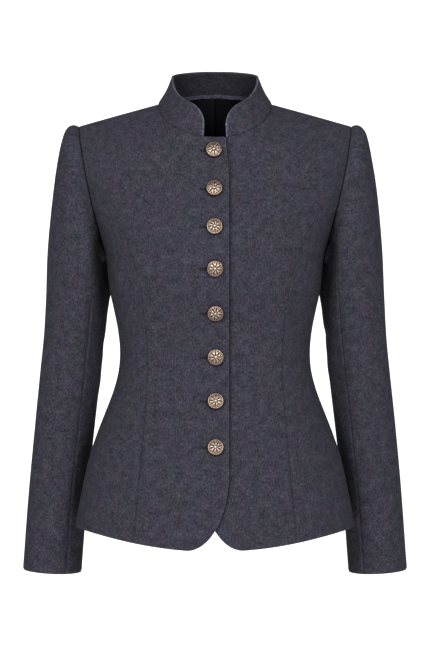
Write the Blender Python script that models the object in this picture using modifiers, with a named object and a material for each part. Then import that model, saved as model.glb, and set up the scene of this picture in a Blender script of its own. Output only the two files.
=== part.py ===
"""Trachten jacket in charcoal wool, filled out as if worn, with no wearer inside.

Metres, +Z up. The front faces -Y and the wearer's left is +X. The origin lies between the two neck
points of the shoulder line, where the wearer's neck and shoulders carry the jacket. Sizes are in
millimetres until a piece is made.

Every body panel is a stretch of one torso surface, torso(angle, height): the angle runs from the
centre front (0) over the wearer's left side (a quarter turn) to the centre back (a half turn).
A panel is cut from it along seam lines, as a maker cuts it from cloth.
"""

import math

import bmesh
import bpy
import numpy as np
from mathutils import Vector
from mathutils.bvhtree import BVHTree

MM = 0.001
QUARTER = math.pi / 2

# Cloth
CLOTH = 2.2  # wall of the wool with its interlining
SEAM_GAP = 0.3
COLLAR_WALL = 3.0  # two layers and a stiffener
LINING_WALL = 0.8
LINING_GAP = 0.6  # between the wool and the lining
OVERLAP_GAP = 0.8  # between the two fronts where they lie on each other

# Shoulder and neck
NECK_HALF = 78.5  # from the centre to the neck point of the shoulder line
NECK_DROP = 53.0  # the neck line at the centre front lies this far below the origin
NECK_RISE = 20.0  # and at the centre back this far above it
SHOULDER_TIP = 187.7  # x of the outer end of the shoulder seam
SHOULDER_SLOPE = 0.28
RIDGE_ZERO = 82.0  # distance from the centre at which the shoulder line has the origin's height
FRONT_NECK_RIDGE = (67.0, 1.6)  # rise of the ridge inside the neck point, and how late it comes
BACK_NECK_RIDGE = (80.0, 0.75)
RIDGE_BAND = 0.5  # nearer to the ridge than this, the cloth points straight off it
RIDGE_CLEAR = 1.2  # the surface's slopes are read no nearer to the ridge than this
NECK_FLARE = 0.5  # how much more the ridge's outward direction leans at the neck point
NECK_FLARE_WIDTH = 20.0  # distance past the neck point over which that comes in
SHOULDER_ROLL = 75.0  # height over which the shoulder rounds into the chest
ROLL_POWER = 0.5  # 0.5 rolls over as a quarter ellipse
NECK_ROLL_EXTRA = 0.2  # added in front of the neck, where the roll is flatter
NECK_ROLL_START = 130.0  # distance from the centre inside which it comes in
NECK_ROLL_WIDTH = 50.0
ARMPIT = -206.5
ARMHOLE_BOW = 3.5  # how far the armhole bows out between the shoulder tip and the armpit

# Front closing
OVERLAP = 18.4  # each front runs this far past the centre
OVERLAP_AT_NECK = 14.5
TAPER_START = -105.0  # height at which the overlap starts to narrow towards the neck
TAPER_HEIGHT = 52.0
LIFT_START = 20.0  # distance from the centre up to which the upper front lies on the lower one
LIFT_WIDTH = 55.0  # and over which it comes down to the torso
CORNER_TOP = -498.0  # height at which the front edge starts to round into the hem
CORNER_FOOT = 37.0  # distance from the centre at which it has become the hem
COLLAR_END = 15.0  # distance of each collar end from the centre

# Hem
HEM_SIDE = -578.0
HEM_FRONT_DROP = 21.5
HEM_BACK_DROP = 6.0
HEM_POWER = 3  # how late the hem drops towards the centre

# Buttons
BUTTON_SEAT = 0.4  # from the cloth to the foot of the shank
SEAT_SEARCH = 20.0  # distance in front of the torso from which a button's seat is looked for

# Seam places on the armhole, in degrees from the shoulder tip
FRONT_JUNCTION = 110.0
BACK_JUNCTION = 95.0

# Mesh counts
LOW_ROWS = 18  # from the hem up to where a shaped seam meets the armhole
CORNER_ROWS = 5
HIGH_ROWS = 7  # from there to the shoulder tip
SIDE_COLUMNS = 6
SHOULDER_COLUMNS = 6
FRONT_NECK_COLUMNS = 7  # from the collar's end to the neck point
OVERLAP_COLUMNS = 2
HEM_COLUMNS = OVERLAP_COLUMNS + FRONT_NECK_COLUMNS + SHOULDER_COLUMNS
BACK_NECK_COLUMNS = 5  # from the centre back to the neck point
COLLAR_ROWS = 5
COLLAR_END_POWER = 1.35  # more than 1 draws the columns together at the collar's end
COLLAR_TOP_POWER = 1.8  # and the rows together at its top
LINING_LOW_ROWS = 2  # rows of the back below its junction that the lining covers
LINING_INSET = 3  # columns of the back that it leaves out on each side
CURVE_STEPS = 400  # for measuring along a seam
ANGLE_STEP = 0.001  # for the torso's slope round
HEIGHT_STEP = 1.0  # and for its slope up
SHARP_EDGE = 40.0  # in degrees
MERGE = 0.00001  # in metres

# Lining behind the neck: the pleat down its centre, from its open side to its fold
LINING_MARGIN = 3.0
PLEAT_DEPTH = 2.5
PLEAT_START = -16.0
PLEAT_WIDTH = 12.0
PLEAT_FOLD = -1.0
PLEAT_FOLD_WIDTH = 3.0


def table(columns, *rows):
    """Sizes as {column name: array}."""
    return dict(zip(columns.split(), np.array(rows, float).T))


# Sections of the torso: half width, depth in front of and behind the centre, the centre's own y
# and the exponent of the section, where 2 is an ellipse and more is squarer
TORSO = table(
    "height half_width front back centre square",
    (-605, 195.0, 128, 150, -12, 2.1),
    (-570, 190.0, 127, 148, -12, 2.1),
    (-530, 182.6, 124, 143, -11, 2.1),
    (-486, 173.0, 118, 132, -9, 2.15),
    (-448, 160.5, 110, 115, -7, 2.2),
    (-421, 150.0, 104, 103, -5, 2.25),
    (-393, 139.5, 99, 91, -3, 2.3),
    (-365, 132.5, 97, 84, -1, 2.3),
    (-338, 131.0, 98, 81, 0, 2.3),
    (-310, 133.7, 103, 84, 0, 2.3),
    (-283, 139.0, 112, 89, 0, 2.3),
    (-255, 144.9, 122, 95, 0, 2.3),
    (-230, 147.6, 128, 101, 0, 2.3),
    (-206, 150.3, 129, 105, 0, 2.25),
    (-180, 158.0, 125, 107, 0, 2.2),
    (-150, 171.0, 118, 107, 0, 2.1),
    (-110, 188.0, 105, 103, 0, 1.95),
    (-70, 204.0, 91, 96, 0, 1.85),
    (-30, 215.0, 78, 84, 0, 1.75),
    (20, 219.0, 64, 68, 0, 1.7),
    (100, 222.0, 40, 50, 0, 1.7),
)

# Distance of the shaped seams from the centre line, up to the armhole
FRONT_SEAM = table(
    "height out",
    (-605, 109),
    (-547, 104),
    (-504, 100),
    (-413, 93),
    (-350, 90),
    (-283, 96),
    (-235, 104),
    (-204, 114),
    (-180, 124),
    (-163, 135),
)
BACK_SEAM = table(
    "height out",
    (-605, 82),
    (-530, 76),
    (-448, 68),
    (-365, 60),
    (-338, 59),
    (-283, 63),
    (-235, 74),
    (-195, 94),
    (-158, 128),
)

# Rings of the sleeve, from the armhole to the cuff: the outer and the inner end of each ring,
# its half depth and its centre's y
SLEEVE = table(
    "outer_x outer_z inner_x inner_z depth centre",
    (187.7, -29.7, 150.2, -206.5, 45, 2),
    (194.5, -27.7, 151.2, -210, 47, 2),
    (201.5, -29.8, 150.9, -213, 49, 3),
    (207.0, -36, 150.6, -216, 51, 4),
    (211.3, -48, 150.1, -220, 53, 6),
    (216.8, -72, 149.4, -226, 55, 9),
    (222.4, -104, 148.7, -235, 57, 13),
    (228.0, -150, 147.4, -250, 58, 18),
    (233.2, -205, 147.0, -268, 58, 24),
    (235.9, -262, 149.8, -291, 56, 30),
    (239.4, -318, 154.2, -326, 53, 37),
    (245.3, -372, 159.9, -377, 50.5, 42),
    (252.6, -438, 168.0, -442, 48, 48),
    (262.2, -537, 178.8, -540, 45, 54),
    (270.6, -646.5, 187.8, -651.5, 43, 56),
)
FRONT_SLEEVE_SEAM = 1  # counted in armhole points past the front junction
BACK_SLEEVE_SEAM = 1
SLEEVE_RINGS = 17
SLEEVE_HEAD = 8  # rows of the table over which the armhole's own form fades out

# The stand collar: its height and inward lean in degrees, from the centre front round to the back
COLLAR = table(
    "turn height lean",
    (0, 43, 6),
    (45, 43, 22),
    (90, 42, 27),
    (135, 37, 20),
    (180, 35, 13),
)
COLLAR_CORNER = 27.0  # radius of its rounded front end
COLLAR_HOLLOW = 0.35  # how much more it leans at its foot, and less at its top
COLLAR_EASE = 4  # radii of the corner over which the points behind it are moved back
CORNER_END = 0.999  # share of the quarter round that is made, so that it keeps a short top edge

# Where each button is sewn on: its height, and how far it lies from the centre line towards the
# wearer's left
BUTTON_ROWS = table(
    "height across",
    (-72.5, -1.4),
    (-125.0, -0.9),
    (-175.2, -0.5),
    (-228.5, 0.1),
    (-285.4, 0.7),
    (-345.6, 1.0),
    (-405.5, 0.9),
    (-465.5, 0.8),
)

# Half profile of a button, from the dome's middle to the foot of the shank: radius and height
BUTTON_PROFILE = (
    (0.0, 7.6),
    (4.4, 7.2),
    (8.2, 6.0),
    (10.4, 4.4),
    (11.0, 3.4),
    (10.6, 2.9),
    (2.6, 2.6),
    (2.4, 0.0),
    (0.0, 0.0),
)
BUTTON_SIDES = 14


def smooth(at, knots, values):
    """A smooth curve through the knots, read at the given places.

    Cubic pieces, whose slope at a knot is the mean of the slopes on its two sides.
    """
    slopes = np.gradient(values, knots)
    at = np.asarray(at, float)
    first = np.clip(np.searchsorted(knots, at) - 1, 0, len(knots) - 2)
    width = knots[first + 1] - knots[first]
    t = (at - knots[first]) / width
    rise = values[first + 1] - values[first]
    bend_in = slopes[first] * width - rise
    bend_out = rise - slopes[first + 1] * width
    return values[first] + t * rise + t * (1 - t) * ((1 - t) * bend_in + t * bend_out)


def step_up(t):
    """0 below 0, 1 above 1 and an even S between."""
    t = np.clip(t, 0, 1)
    return t * t * (3 - 2 * t)


def signed_power(values, exponent):
    """The size of each value raised to the exponent, with the value's own sign."""
    return np.sign(values) * np.abs(values) ** exponent


def ridge_height(x, behind=False):
    """Height of the shoulder line, which goes on to rise inside the neck as the body's own neck."""
    inside = np.clip((NECK_HALF - np.abs(x)) / NECK_HALF, 0, 1)
    front_rise = FRONT_NECK_RIDGE[0] * inside ** FRONT_NECK_RIDGE[1]
    back_rise = BACK_NECK_RIDGE[0] * inside ** BACK_NECK_RIDGE[1]
    return SHOULDER_SLOPE * (RIDGE_ZERO - np.abs(x)) + np.where(behind, back_rise, front_rise)


def section(height):
    """The torso's section at a height, as {column name: value}."""
    return {name: smooth(height, TORSO["height"], column) for name, column in TORSO.items()}


def torso(angle, height):
    """A point of the outer surface: a superellipse at each height, closed at the top by the roll
    over the shoulder line."""
    cut = section(height)
    behind = np.cos(angle) < 0
    x = cut["half_width"] * signed_power(np.sin(angle), 2 / cut["square"])
    below = np.clip((ridge_height(x, behind) - height) / SHOULDER_ROLL, 0, 1)
    near_neck = np.clip((NECK_ROLL_START - np.abs(x)) / NECK_ROLL_WIDTH, 0, 1)
    power = ROLL_POWER + NECK_ROLL_EXTRA * near_neck * ~behind
    roll = (1 - (1 - below) ** 2) ** power
    depth = np.where(behind, cut["back"], cut["front"])
    y = cut["centre"] - depth * signed_power(np.cos(angle), 2 / cut["square"]) * roll
    return np.stack([x, y, np.broadcast_to(height, x.shape)], axis=-1)


def angle_at(x, height, behind=False):
    """The angle at which the torso's surface lies x out from the centre."""
    cut = section(height)
    share = np.clip(np.abs(x) / cut["half_width"], 0, 1) ** (cut["square"] / 2)
    angle = np.sign(x) * np.arcsin(share)
    return math.pi - angle if behind else angle


def outward(angle, height):
    """Unit normals of the torso, from its slopes both ways. Along the shoulder seam they point
    straight off the ridge, so that front and back meet there edge to edge."""
    x = torso(angle, height)[..., 0]
    ridge = ridge_height(x, np.cos(angle) < 0)
    on_ridge = (height > ridge - RIDGE_BAND)[..., None]
    height = np.minimum(height, ridge - RIDGE_CLEAR)
    along = torso(angle + ANGLE_STEP, height) - torso(angle - ANGLE_STEP, height)
    up = torso(angle, height + HEIGHT_STEP) - torso(angle, height - HEIGHT_STEP)
    flare = np.clip(1 - (np.abs(x) - NECK_HALF) / NECK_FLARE_WIDTH, 0, 1)
    slope = SHOULDER_SLOPE + NECK_FLARE * flare
    off_ridge = np.stack([slope * np.sign(x), 0 * x, 1 + 0 * x], axis=-1)
    normal = np.where(on_ridge, off_ridge, np.cross(along, up))
    return normal / np.linalg.norm(normal, axis=-1, keepdims=True)


def patch(bottom, top, left, right):
    """A grid of (angle, height) inside four edges. Each row runs straight from left to right,
    plus the bend of the bottom and top edges, which fades as a square away from them."""
    rows, columns = len(left), len(bottom)
    v = np.linspace(0, 1, rows)[:, None, None]
    u = np.linspace(0, 1, columns)[None, :, None]
    ruled = left[:, None] * (1 - u) + right[:, None] * u
    bottom_bend = bottom - (bottom[0] * (1 - u) + bottom[-1] * u)
    top_bend = top - (top[0] * (1 - u) + top[-1] * u)
    return ruled + (1 - v) ** 2 * bottom_bend + v**2 * top_bend


def run_along(line):
    """How far along a line of points each of its points lies."""
    return np.concatenate([[0], np.cumsum(np.linalg.norm(np.diff(line, axis=0), axis=1))])


def spaced(line, count):
    """The line with count even steps along it."""
    run = run_along(line)
    at = np.linspace(0, run[-1], count + 1)
    return np.stack([np.interp(at, run, column) for column in line.T], axis=-1)


def pairs(angle, height):
    """Angles and heights as one array, with the two in its last axis."""
    return np.stack(np.broadcast_arrays(angle, height), axis=-1)


def armhole(degrees):
    """x and height of the armhole, which seen from the front is nearly straight, from the shoulder
    tip (0) to the armpit (180)."""
    share = (1 - np.cos(np.radians(degrees))) / 2
    tip_height = ridge_height(SHOULDER_TIP)
    x = SHOULDER_TIP + (section(ARMPIT)["half_width"] - SHOULDER_TIP) * share
    bow = ARMHOLE_BOW * np.sin(np.radians(degrees)) ** 2
    return x + bow, tip_height + (ARMPIT - tip_height) * share


def armhole_edge(start, end, count, behind):
    """The armhole as (angle, height), between two places given in degrees from the shoulder tip."""
    x, height = armhole(np.linspace(start, end, count + 1))
    return pairs(angle_at(x, height, behind), height)


def hem_height(angle):
    """The hem is level at the sides and lower at the centre, more so in front."""
    cosine = np.cos(angle)
    drop = np.where(cosine > 0, HEM_FRONT_DROP, HEM_BACK_DROP)
    return HEM_SIDE - drop * np.abs(cosine) ** HEM_POWER


def shaped_seam(seam, junction, behind):
    """A seam from the hem to the armhole as (angle, height), through its table and its junction."""
    end_x, end_height = armhole(junction)
    heights = np.append(seam["height"], end_height)
    outs = np.append(seam["out"], end_x)
    foot_angle = angle_at(np.interp(HEM_SIDE, heights, outs), HEM_SIDE, behind)
    height = np.linspace(hem_height(foot_angle), end_height, CURVE_STEPS)
    height = spaced(np.stack([smooth(height, heights, outs), height], axis=-1), LOW_ROWS)[:, 1]
    return pairs(angle_at(smooth(height, heights, outs), height, behind), height)


def neck_point_height():
    """Height of the shoulder line where the neck line ends."""
    return float(ridge_height(np.array(NECK_HALF)))


def neck_line(turn, behind):
    """The neck line as (angle, height). turn goes from the centre to the neck point in a quarter;
    seen from the front the line is a quarter ellipse."""
    drop = NECK_RISE if behind else -NECK_DROP
    x = NECK_HALF * np.sin(turn)
    height = neck_point_height() + (drop - neck_point_height()) * np.cos(turn)
    return pairs(angle_at(x, height, behind), height)


def shoulder_line(count, behind):
    """The shoulder seam as (angle, height), from the neck point to the tip."""
    x = np.linspace(NECK_HALF, SHOULDER_TIP, count + 1)
    return pairs(angle_at(x, ridge_height(x), behind), ridge_height(x))


def front_edge():
    """The front edge as (angle, height): the rounded corner, then the straight overlap.
    Distances past the centre are negative."""
    foot_height = hem_height(angle_at(CORNER_FOOT, HEM_SIDE))
    turn = np.linspace(QUARTER, 0, CORNER_ROWS + 1)
    corner_x = -OVERLAP + (OVERLAP + CORNER_FOOT) * (1 - np.cos(turn))
    corner_height = CORNER_TOP + (foot_height - CORNER_TOP) * np.sin(turn)
    junction_height = armhole(FRONT_JUNCTION)[1]
    low = np.linspace(CORNER_TOP, junction_height, LOW_ROWS - CORNER_ROWS + 1)[1:]
    high = np.linspace(junction_height, -NECK_DROP, HIGH_ROWS + 1)[1:]
    height = np.concatenate([corner_height, low, high])
    taper = step_up((height - TAPER_START) / TAPER_HEIGHT)
    straight = -OVERLAP + (OVERLAP - OVERLAP_AT_NECK) * taper
    x = np.where(height > CORNER_TOP, straight, 0)
    x[: CORNER_ROWS + 1] = corner_x
    return pairs(angle_at(x, height), height)


def collar_turns():
    """Turns of the neck line from the collar's end to the neck point, closer at the end."""
    first = math.asin(COLLAR_END / NECK_HALF)
    share = np.linspace(0, 1, FRONT_NECK_COLUMNS + 1) ** COLLAR_END_POWER
    return first + (QUARTER - first) * share


def front_grid():
    """(angle, height) of the left front, from its edge to its shaped seam and armhole."""
    seam = shaped_seam(FRONT_SEAM, FRONT_JUNCTION, behind=False)
    arm = armhole_edge(FRONT_JUNCTION, 0, HIGH_ROWS, behind=False)
    right = np.concatenate([seam, arm[1:]])
    left = front_edge()
    hem_angle = np.linspace(left[0, 0], right[0, 0], HEM_COLUMNS + 1)
    edge_turn = -math.asin(OVERLAP_AT_NECK / NECK_HALF)
    first_turns = np.linspace(edge_turn, collar_turns()[0], OVERLAP_COLUMNS + 1)
    turns = np.concatenate([first_turns, collar_turns()[1:]])
    neck = neck_line(turns, behind=False)
    top = np.concatenate([neck, shoulder_line(SHOULDER_COLUMNS, behind=False)[1:]])
    left[-1], right[-1] = top[0], top[-1]
    return patch(pairs(hem_angle, hem_height(hem_angle)), top, left, right)


def side_grid(seam, junction, behind):
    """(angle, height) of a left side panel, from its shaped seam to the side seam."""
    left = shaped_seam(seam, junction, behind)
    side_height = np.linspace(HEM_SIDE, ARMPIT, LOW_ROWS + 1)
    right = pairs(QUARTER, side_height)
    top = armhole_edge(junction, 180, SIDE_COLUMNS, behind)
    hem_angle = np.linspace(left[0, 0], QUARTER, SIDE_COLUMNS + 1)
    return patch(pairs(hem_angle, hem_height(hem_angle)), top, left, right)


def back_grid():
    """(angle, height) of the whole back, from its left seam and armhole to its right ones."""
    seam = shaped_seam(BACK_SEAM, BACK_JUNCTION, behind=True)
    arm = armhole_edge(BACK_JUNCTION, 0, HIGH_ROWS, behind=True)
    left = np.concatenate([seam, arm[1:]])
    turns = np.linspace(0, QUARTER, BACK_NECK_COLUMNS + 1)[::-1]
    half = [shoulder_line(SHOULDER_COLUMNS, behind=True)[::-1], neck_line(turns, behind=True)[1:]]
    half = np.concatenate(half)
    mirrored = np.array([2 * math.pi, 0]) + half[::-1] * np.array([-1, 1])
    top = np.concatenate([half, mirrored[1:]])
    right = np.array([2 * math.pi, 0]) + left * np.array([-1, 1])
    hem_angle = np.linspace(left[0, 0], right[0, 0], len(top))
    return patch(pairs(hem_angle, hem_height(hem_angle)), top, left, right)


def drawn_in(grid, amount):
    """The grid with each edge moved along the cloth towards its inside."""
    grid = grid.copy()
    for _ in range(4):
        toward = grid[1] - grid[0]
        grid[0] += amount * toward / np.linalg.norm(toward, axis=-1, keepdims=True)
        grid = np.rot90(grid)
    return grid


def lift_of(x):
    """How far the front that lies on top stands off the torso surface, x out from the centre."""
    return (CLOTH + OVERLAP_GAP) * (1 - step_up((x - LIFT_START) / LIFT_WIDTH))


def torso_skin(grid, lift=0.0):
    """Points and outward directions of a body panel's outer face."""
    angle, height = grid[..., 0], grid[..., 1]
    normal = outward(angle, height)
    return torso(angle, height) + np.asarray(lift)[..., None] * normal, normal


def material(name, colour, roughness, metallic=0.0):
    """A plain finish."""
    made = bpy.data.materials.new(name)
    made.use_nodes = True
    shader = made.node_tree.nodes["Principled BSDF"]
    shader.inputs["Base Color"].default_value = (*colour, 1)
    shader.inputs["Roughness"].default_value = roughness
    shader.inputs["Metallic"].default_value = metallic
    return made


def add_mesh(name, mesh, finish, collection):
    """The mesh as an object, shaded smooth but for its real edges."""
    mesh.materials.append(finish)
    mesh.shade_smooth()
    mesh.set_sharp_from_angle(angle=math.radians(SHARP_EDGE))
    piece = bpy.data.objects.new(name, mesh)
    collection.objects.link(piece)
    return piece


def cloth_wall(name, outer, inner, finish, collection):
    """A closed wall between two grids of points in millimetres, which share their rim.

    Solidify leans a wall at a cut edge, where faces lie on one side only, and neighbours would
    then overlap at their seam. So both faces of the cloth come from the surface's own directions.
    """
    rows, columns = outer.shape[:2]
    index = np.arange(rows * columns).reshape(rows, columns)
    corners = [index[:-1, :-1], index[:-1, 1:], index[1:, 1:], index[1:, :-1]]
    halves = [np.stack([corners[0], corners[i], corners[i + 1]], axis=-1) for i in (1, 2)]
    skin = np.concatenate(halves).reshape(-1, 3)
    rim = np.concatenate([index[0, :-1], index[:-1, -1], index[-1, :0:-1], index[:0:-1, 0]])
    following = np.roll(rim, -1)
    shift = rows * columns
    band = np.stack([following, rim, rim + shift, following + shift], axis=-1)
    points = np.concatenate([outer.reshape(-1, 3), inner.reshape(-1, 3)]) * MM
    mesh = bpy.data.meshes.new(name)
    faces = skin.tolist() + (skin[:, ::-1] + shift).tolist() + band.tolist()
    mesh.from_pydata(points.tolist(), [], faces)
    shape = bmesh.new()
    shape.from_mesh(mesh)
    bmesh.ops.recalc_face_normals(shape, faces=shape.faces)
    bmesh.ops.triangulate(shape, faces=shape.faces, quad_method="SHORT_EDGE")
    shape.to_mesh(mesh)
    shape.free()
    return add_mesh(name, mesh, finish, collection)


def to_right(points):
    """The same points on the wearer's right side."""
    return points * np.array([-1, 1, 1])


def body_panel(name, grid, finish, collection, mirror=False, lift=0.0):
    """A panel of the torso: its outer face, and its inner face one cloth further in."""
    skin, normal = torso_skin(grid, lift)
    outer = drawn_in(skin, SEAM_GAP / 2)
    inner = outer - CLOTH * normal
    if mirror:
        outer, inner = to_right(outer), to_right(inner)
    return cloth_wall(name, outer, inner, finish, collection)


def sleeve_turns():
    """Places round the sleeve in degrees, front positive, from the back seam over the crown, the
    front and the underarm back to the back seam, at the same points as the armhole's edges."""
    front = np.linspace(0, FRONT_JUNCTION, HIGH_ROWS + 1)
    front_low = np.linspace(FRONT_JUNCTION, 180, SIDE_COLUMNS + 1)
    back = np.linspace(0, BACK_JUNCTION, HIGH_ROWS + 1)
    back_low = np.linspace(BACK_JUNCTION, 180, SIDE_COLUMNS + 1)
    before_crown = -np.concatenate([back[1:], back_low[1 : 1 + BACK_SLEEVE_SEAM]])[::-1]
    after_underarm = 360 - back_low[::-1][1 : SIDE_COLUMNS + 1 - BACK_SLEEVE_SEAM]
    return np.concatenate([before_crown, front, front_low[1:], after_underarm])


def sleeve_tube(turns):
    """Points of the left sleeve: an ellipse for each ring, which starts as the armhole itself.

    The difference between the armhole and its ellipse fades out over the sleeve's head.
    """
    knots = np.arange(len(SLEEVE["depth"]), dtype=float)
    ring = np.linspace(0, knots[-1], SLEEVE_RINGS + 1)
    size = {name: smooth(ring, knots, column)[:, None] for name, column in SLEEVE.items()}
    cosine = np.cos(np.radians(turns))[None]
    sine = np.sin(np.radians(turns))[None]
    x = (size["outer_x"] * (1 + cosine) + size["inner_x"] * (1 - cosine)) / 2
    z = (size["outer_z"] * (1 + cosine) + size["inner_z"] * (1 - cosine)) / 2
    y = size["centre"] - size["depth"] * sine
    tube = np.stack([x, y, z], axis=-1)
    folded = np.where(turns > 180, 360 - turns, np.abs(turns))
    behind = (turns < 0) | (turns > 180)
    arm_x, arm_height = armhole(folded)
    angle = np.where(behind, angle_at(arm_x, arm_height, True), angle_at(arm_x, arm_height))
    difference = torso(angle, arm_height) - tube[0]
    fade = (1 - step_up(ring / SLEEVE_HEAD))[:, None, None]
    return tube + fade * difference


def sleeve_normals(tube):
    """Outward directions of the closed tube, from the slopes of its grid round and along."""
    closed = np.concatenate([tube[:, -2:-1], tube, tube[:, 1:2]], axis=1)
    around = (closed[:, 2:] - closed[:, :-2]) / 2
    along = np.gradient(tube, axis=0)
    normal = np.cross(around, along)
    return normal / np.linalg.norm(normal, axis=-1, keepdims=True)


def sleeve_panels(side, finish, collection):
    """The upper and the under sleeve of one arm, cut from the same tube."""
    turns = sleeve_turns()
    tube = sleeve_tube(turns)
    normal = sleeve_normals(tube)
    front_seam = int(np.argmax(turns > FRONT_JUNCTION + 1)) + FRONT_SLEEVE_SEAM - 1
    for name, part in (
        ("sleeve_upper", slice(0, front_seam + 1)),
        ("sleeve_under", slice(front_seam, len(turns))),
    ):
        outer = drawn_in(tube[:, part], SEAM_GAP / 2)
        inner = outer + CLOTH * normal[:, part] * inward_sign(normal, tube)
        if side == "right":
            outer, inner = to_right(outer), to_right(inner)
        cloth_wall(f"{name}_{side}", outer, inner, finish, collection)


def inward_sign(normal, tube):
    """-1 if the normals point away from the tube's middle, else 1."""
    middle = tube[-1].mean(axis=0)
    return -1 if np.sum((tube[-1] - middle) * normal[-1]) > 0 else 1


def collar_base(side):
    """Base points of one half of the collar, from its end round to the centre back, the outward
    direction of the cloth that they stand on, and the turn in degrees of each. On the wearer's
    right they stand on the front that lies on top."""
    front_turns = collar_turns()
    front = neck_line(front_turns, behind=False)
    lift = lift_of(NECK_HALF * np.sin(front_turns)) if side == "right" else 0 * front_turns
    points, normal = torso_skin(front, lift)
    back_turns = np.linspace(QUARTER, 0, BACK_NECK_COLUMNS + 1)[1:]
    back_points, back_normal = torso_skin(neck_line(back_turns, behind=True))
    degrees = np.degrees(np.concatenate([front_turns, math.pi - back_turns]))
    return np.concatenate([points, back_points]), np.concatenate([normal, back_normal]), degrees


def collar(finish, collection):
    """The stand collar: a band that rises from the neck line, leans in and has rounded ends."""
    left, left_foot, degrees = collar_base("left")
    right, right_foot = (to_right(part) for part in collar_base("right")[:2])
    base = np.concatenate([left, right[-2::-1]])
    foot = np.concatenate([left_foot, right_foot[-2::-1]])
    turn = np.concatenate([degrees, degrees[-2::-1]])
    side = np.concatenate([np.ones(len(left)), -np.ones(len(left) - 1)])
    height = smooth(turn, COLLAR["turn"], COLLAR["height"])
    lean = np.radians(smooth(turn, COLLAR["turn"], COLLAR["lean"]))
    out = np.stack([side * np.sin(np.radians(turn)), -np.cos(np.radians(turn)), 0 * turn], axis=-1)
    rise = (height * np.cos(lean))[:, None] * np.array([0, 0, 1])
    inward = -(height * np.sin(lean))[:, None] * out
    share = collar_shares()[:, None, None]
    band = base + share * rise + (share + COLLAR_HOLLOW * share * (1 - share)) * inward
    band = round_ends(band, run_along(base), height)
    along = np.gradient(band, axis=1)
    rising = np.gradient(band, axis=0)
    normal = np.cross(along, rising)
    normal /= np.linalg.norm(normal, axis=-1, keepdims=True)
    normal[0] = foot
    outer = drawn_in(band, SEAM_GAP / 2)
    cloth_wall("collar", outer, outer - COLLAR_WALL * normal, finish, collection)


def collar_shares():
    """How far up the collar each of its rows lies, closer together at the top."""
    return 1 - (1 - np.linspace(0, 1, COLLAR_ROWS + 1)) ** COLLAR_TOP_POWER


def round_ends(band, length, height):
    """Moves the points near both ends back along the band, so that each end is a quarter round."""
    rounded = band.copy()
    total = length[-1]
    fade = np.clip(1 - length / (COLLAR_EASE * COLLAR_CORNER), 0, 1) ** 2
    for row, share in enumerate(collar_shares()):
        above = max(0.0, 1 - (1 - share) * height[0] / COLLAR_CORNER)
        cut = COLLAR_CORNER * (1 - math.sqrt(1 - min(above, CORNER_END) ** 2))
        place = np.clip(length + cut * fade - cut * fade[::-1], 0, total)
        for axis in range(3):
            rounded[row, :, axis] = np.interp(place, length, band[row, :, axis])
    return rounded


def lining(grid, finish, collection):
    """The lining that shows inside the neck: the upper middle of the back, one gap further in,
    with a pleat down its centre."""
    rows = slice(LOW_ROWS - LINING_LOW_ROWS, None)
    skin, normal = torso_skin(grid[rows, LINING_INSET:-LINING_INSET])
    x = skin[..., 0]
    opening = step_up((x - PLEAT_START) / PLEAT_WIDTH)
    fold = 1 - step_up((x - PLEAT_FOLD) / PLEAT_FOLD_WIDTH)
    depth = CLOTH + LINING_GAP + PLEAT_DEPTH * opening * fold
    outer = drawn_in(skin - depth[..., None] * normal, LINING_MARGIN)
    cloth_wall("back_lining", outer, outer - LINING_WALL * normal, finish, collection)


def button(name, across, height, cloth, finish, collection):
    """A domed button on a shank, turned, standing on the front that lies on top."""
    skin, normal = torso_skin(pairs(angle_at(np.array([across]), height), height))
    direction = Vector(normal[0])
    above = Vector((skin[0] + SEAT_SEARCH * normal[0]) * MM)
    place = cloth.ray_cast(above, -direction)[0]
    mesh = bpy.data.meshes.new(name)
    profile = [(radius * MM, 0, rise * MM) for radius, rise in BUTTON_PROFILE]
    edges = [(i, i + 1) for i in range(len(profile) - 1)]
    mesh.from_pydata(profile, edges, [])
    mesh.materials.append(finish)
    piece = bpy.data.objects.new(name, mesh)
    collection.objects.link(piece)
    spin = piece.modifiers.new("turn", "SCREW")
    spin.steps = BUTTON_SIDES
    spin.render_steps = BUTTON_SIDES
    spin.use_merge_vertices = True
    spin.merge_threshold = MERGE
    piece.location = place + BUTTON_SEAT * MM * direction
    piece.rotation_euler = direction.to_track_quat("Z", "Y").to_euler()


def main():
    """Clears the file and makes the jacket's pieces."""
    for left_over in list(bpy.data.objects):
        bpy.data.objects.remove(left_over)
    jacket = bpy.data.collections.new("trachten_jacket")
    bpy.context.scene.collection.children.link(jacket)
    wool = material("wool", (0.055, 0.056, 0.07), 0.95)
    satin = material("lining", (0.012, 0.013, 0.022), 0.45)
    metal = material("button_metal", (0.55, 0.42, 0.32), 0.35, 1.0)

    front = front_grid()
    lift = lift_of(torso(front[..., 0], front[..., 1])[..., 0])
    body_panel("front_left", front, wool, jacket)
    front_right = body_panel("front_right", front, wool, jacket, mirror=True, lift=lift)
    for side, mirror in (("left", False), ("right", True)):
        side_front = side_grid(FRONT_SEAM, FRONT_JUNCTION, behind=False)
        side_back = side_grid(BACK_SEAM, BACK_JUNCTION, behind=True)
        body_panel(f"side_front_{side}", side_front, wool, jacket, mirror)
        body_panel(f"side_back_{side}", side_back, wool, jacket, mirror)
        sleeve_panels(side, wool, jacket)
    back = back_grid()
    body_panel("back", back, wool, jacket)
    lining(back, satin, jacket)
    collar(wool, jacket)
    cloth = BVHTree.FromObject(front_right, bpy.context.evaluated_depsgraph_get())
    for number, (height, across) in enumerate(zip(*BUTTON_ROWS.values()), start=1):
        button(f"button_{number}", across, height, cloth, metal, jacket)


main()
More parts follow.
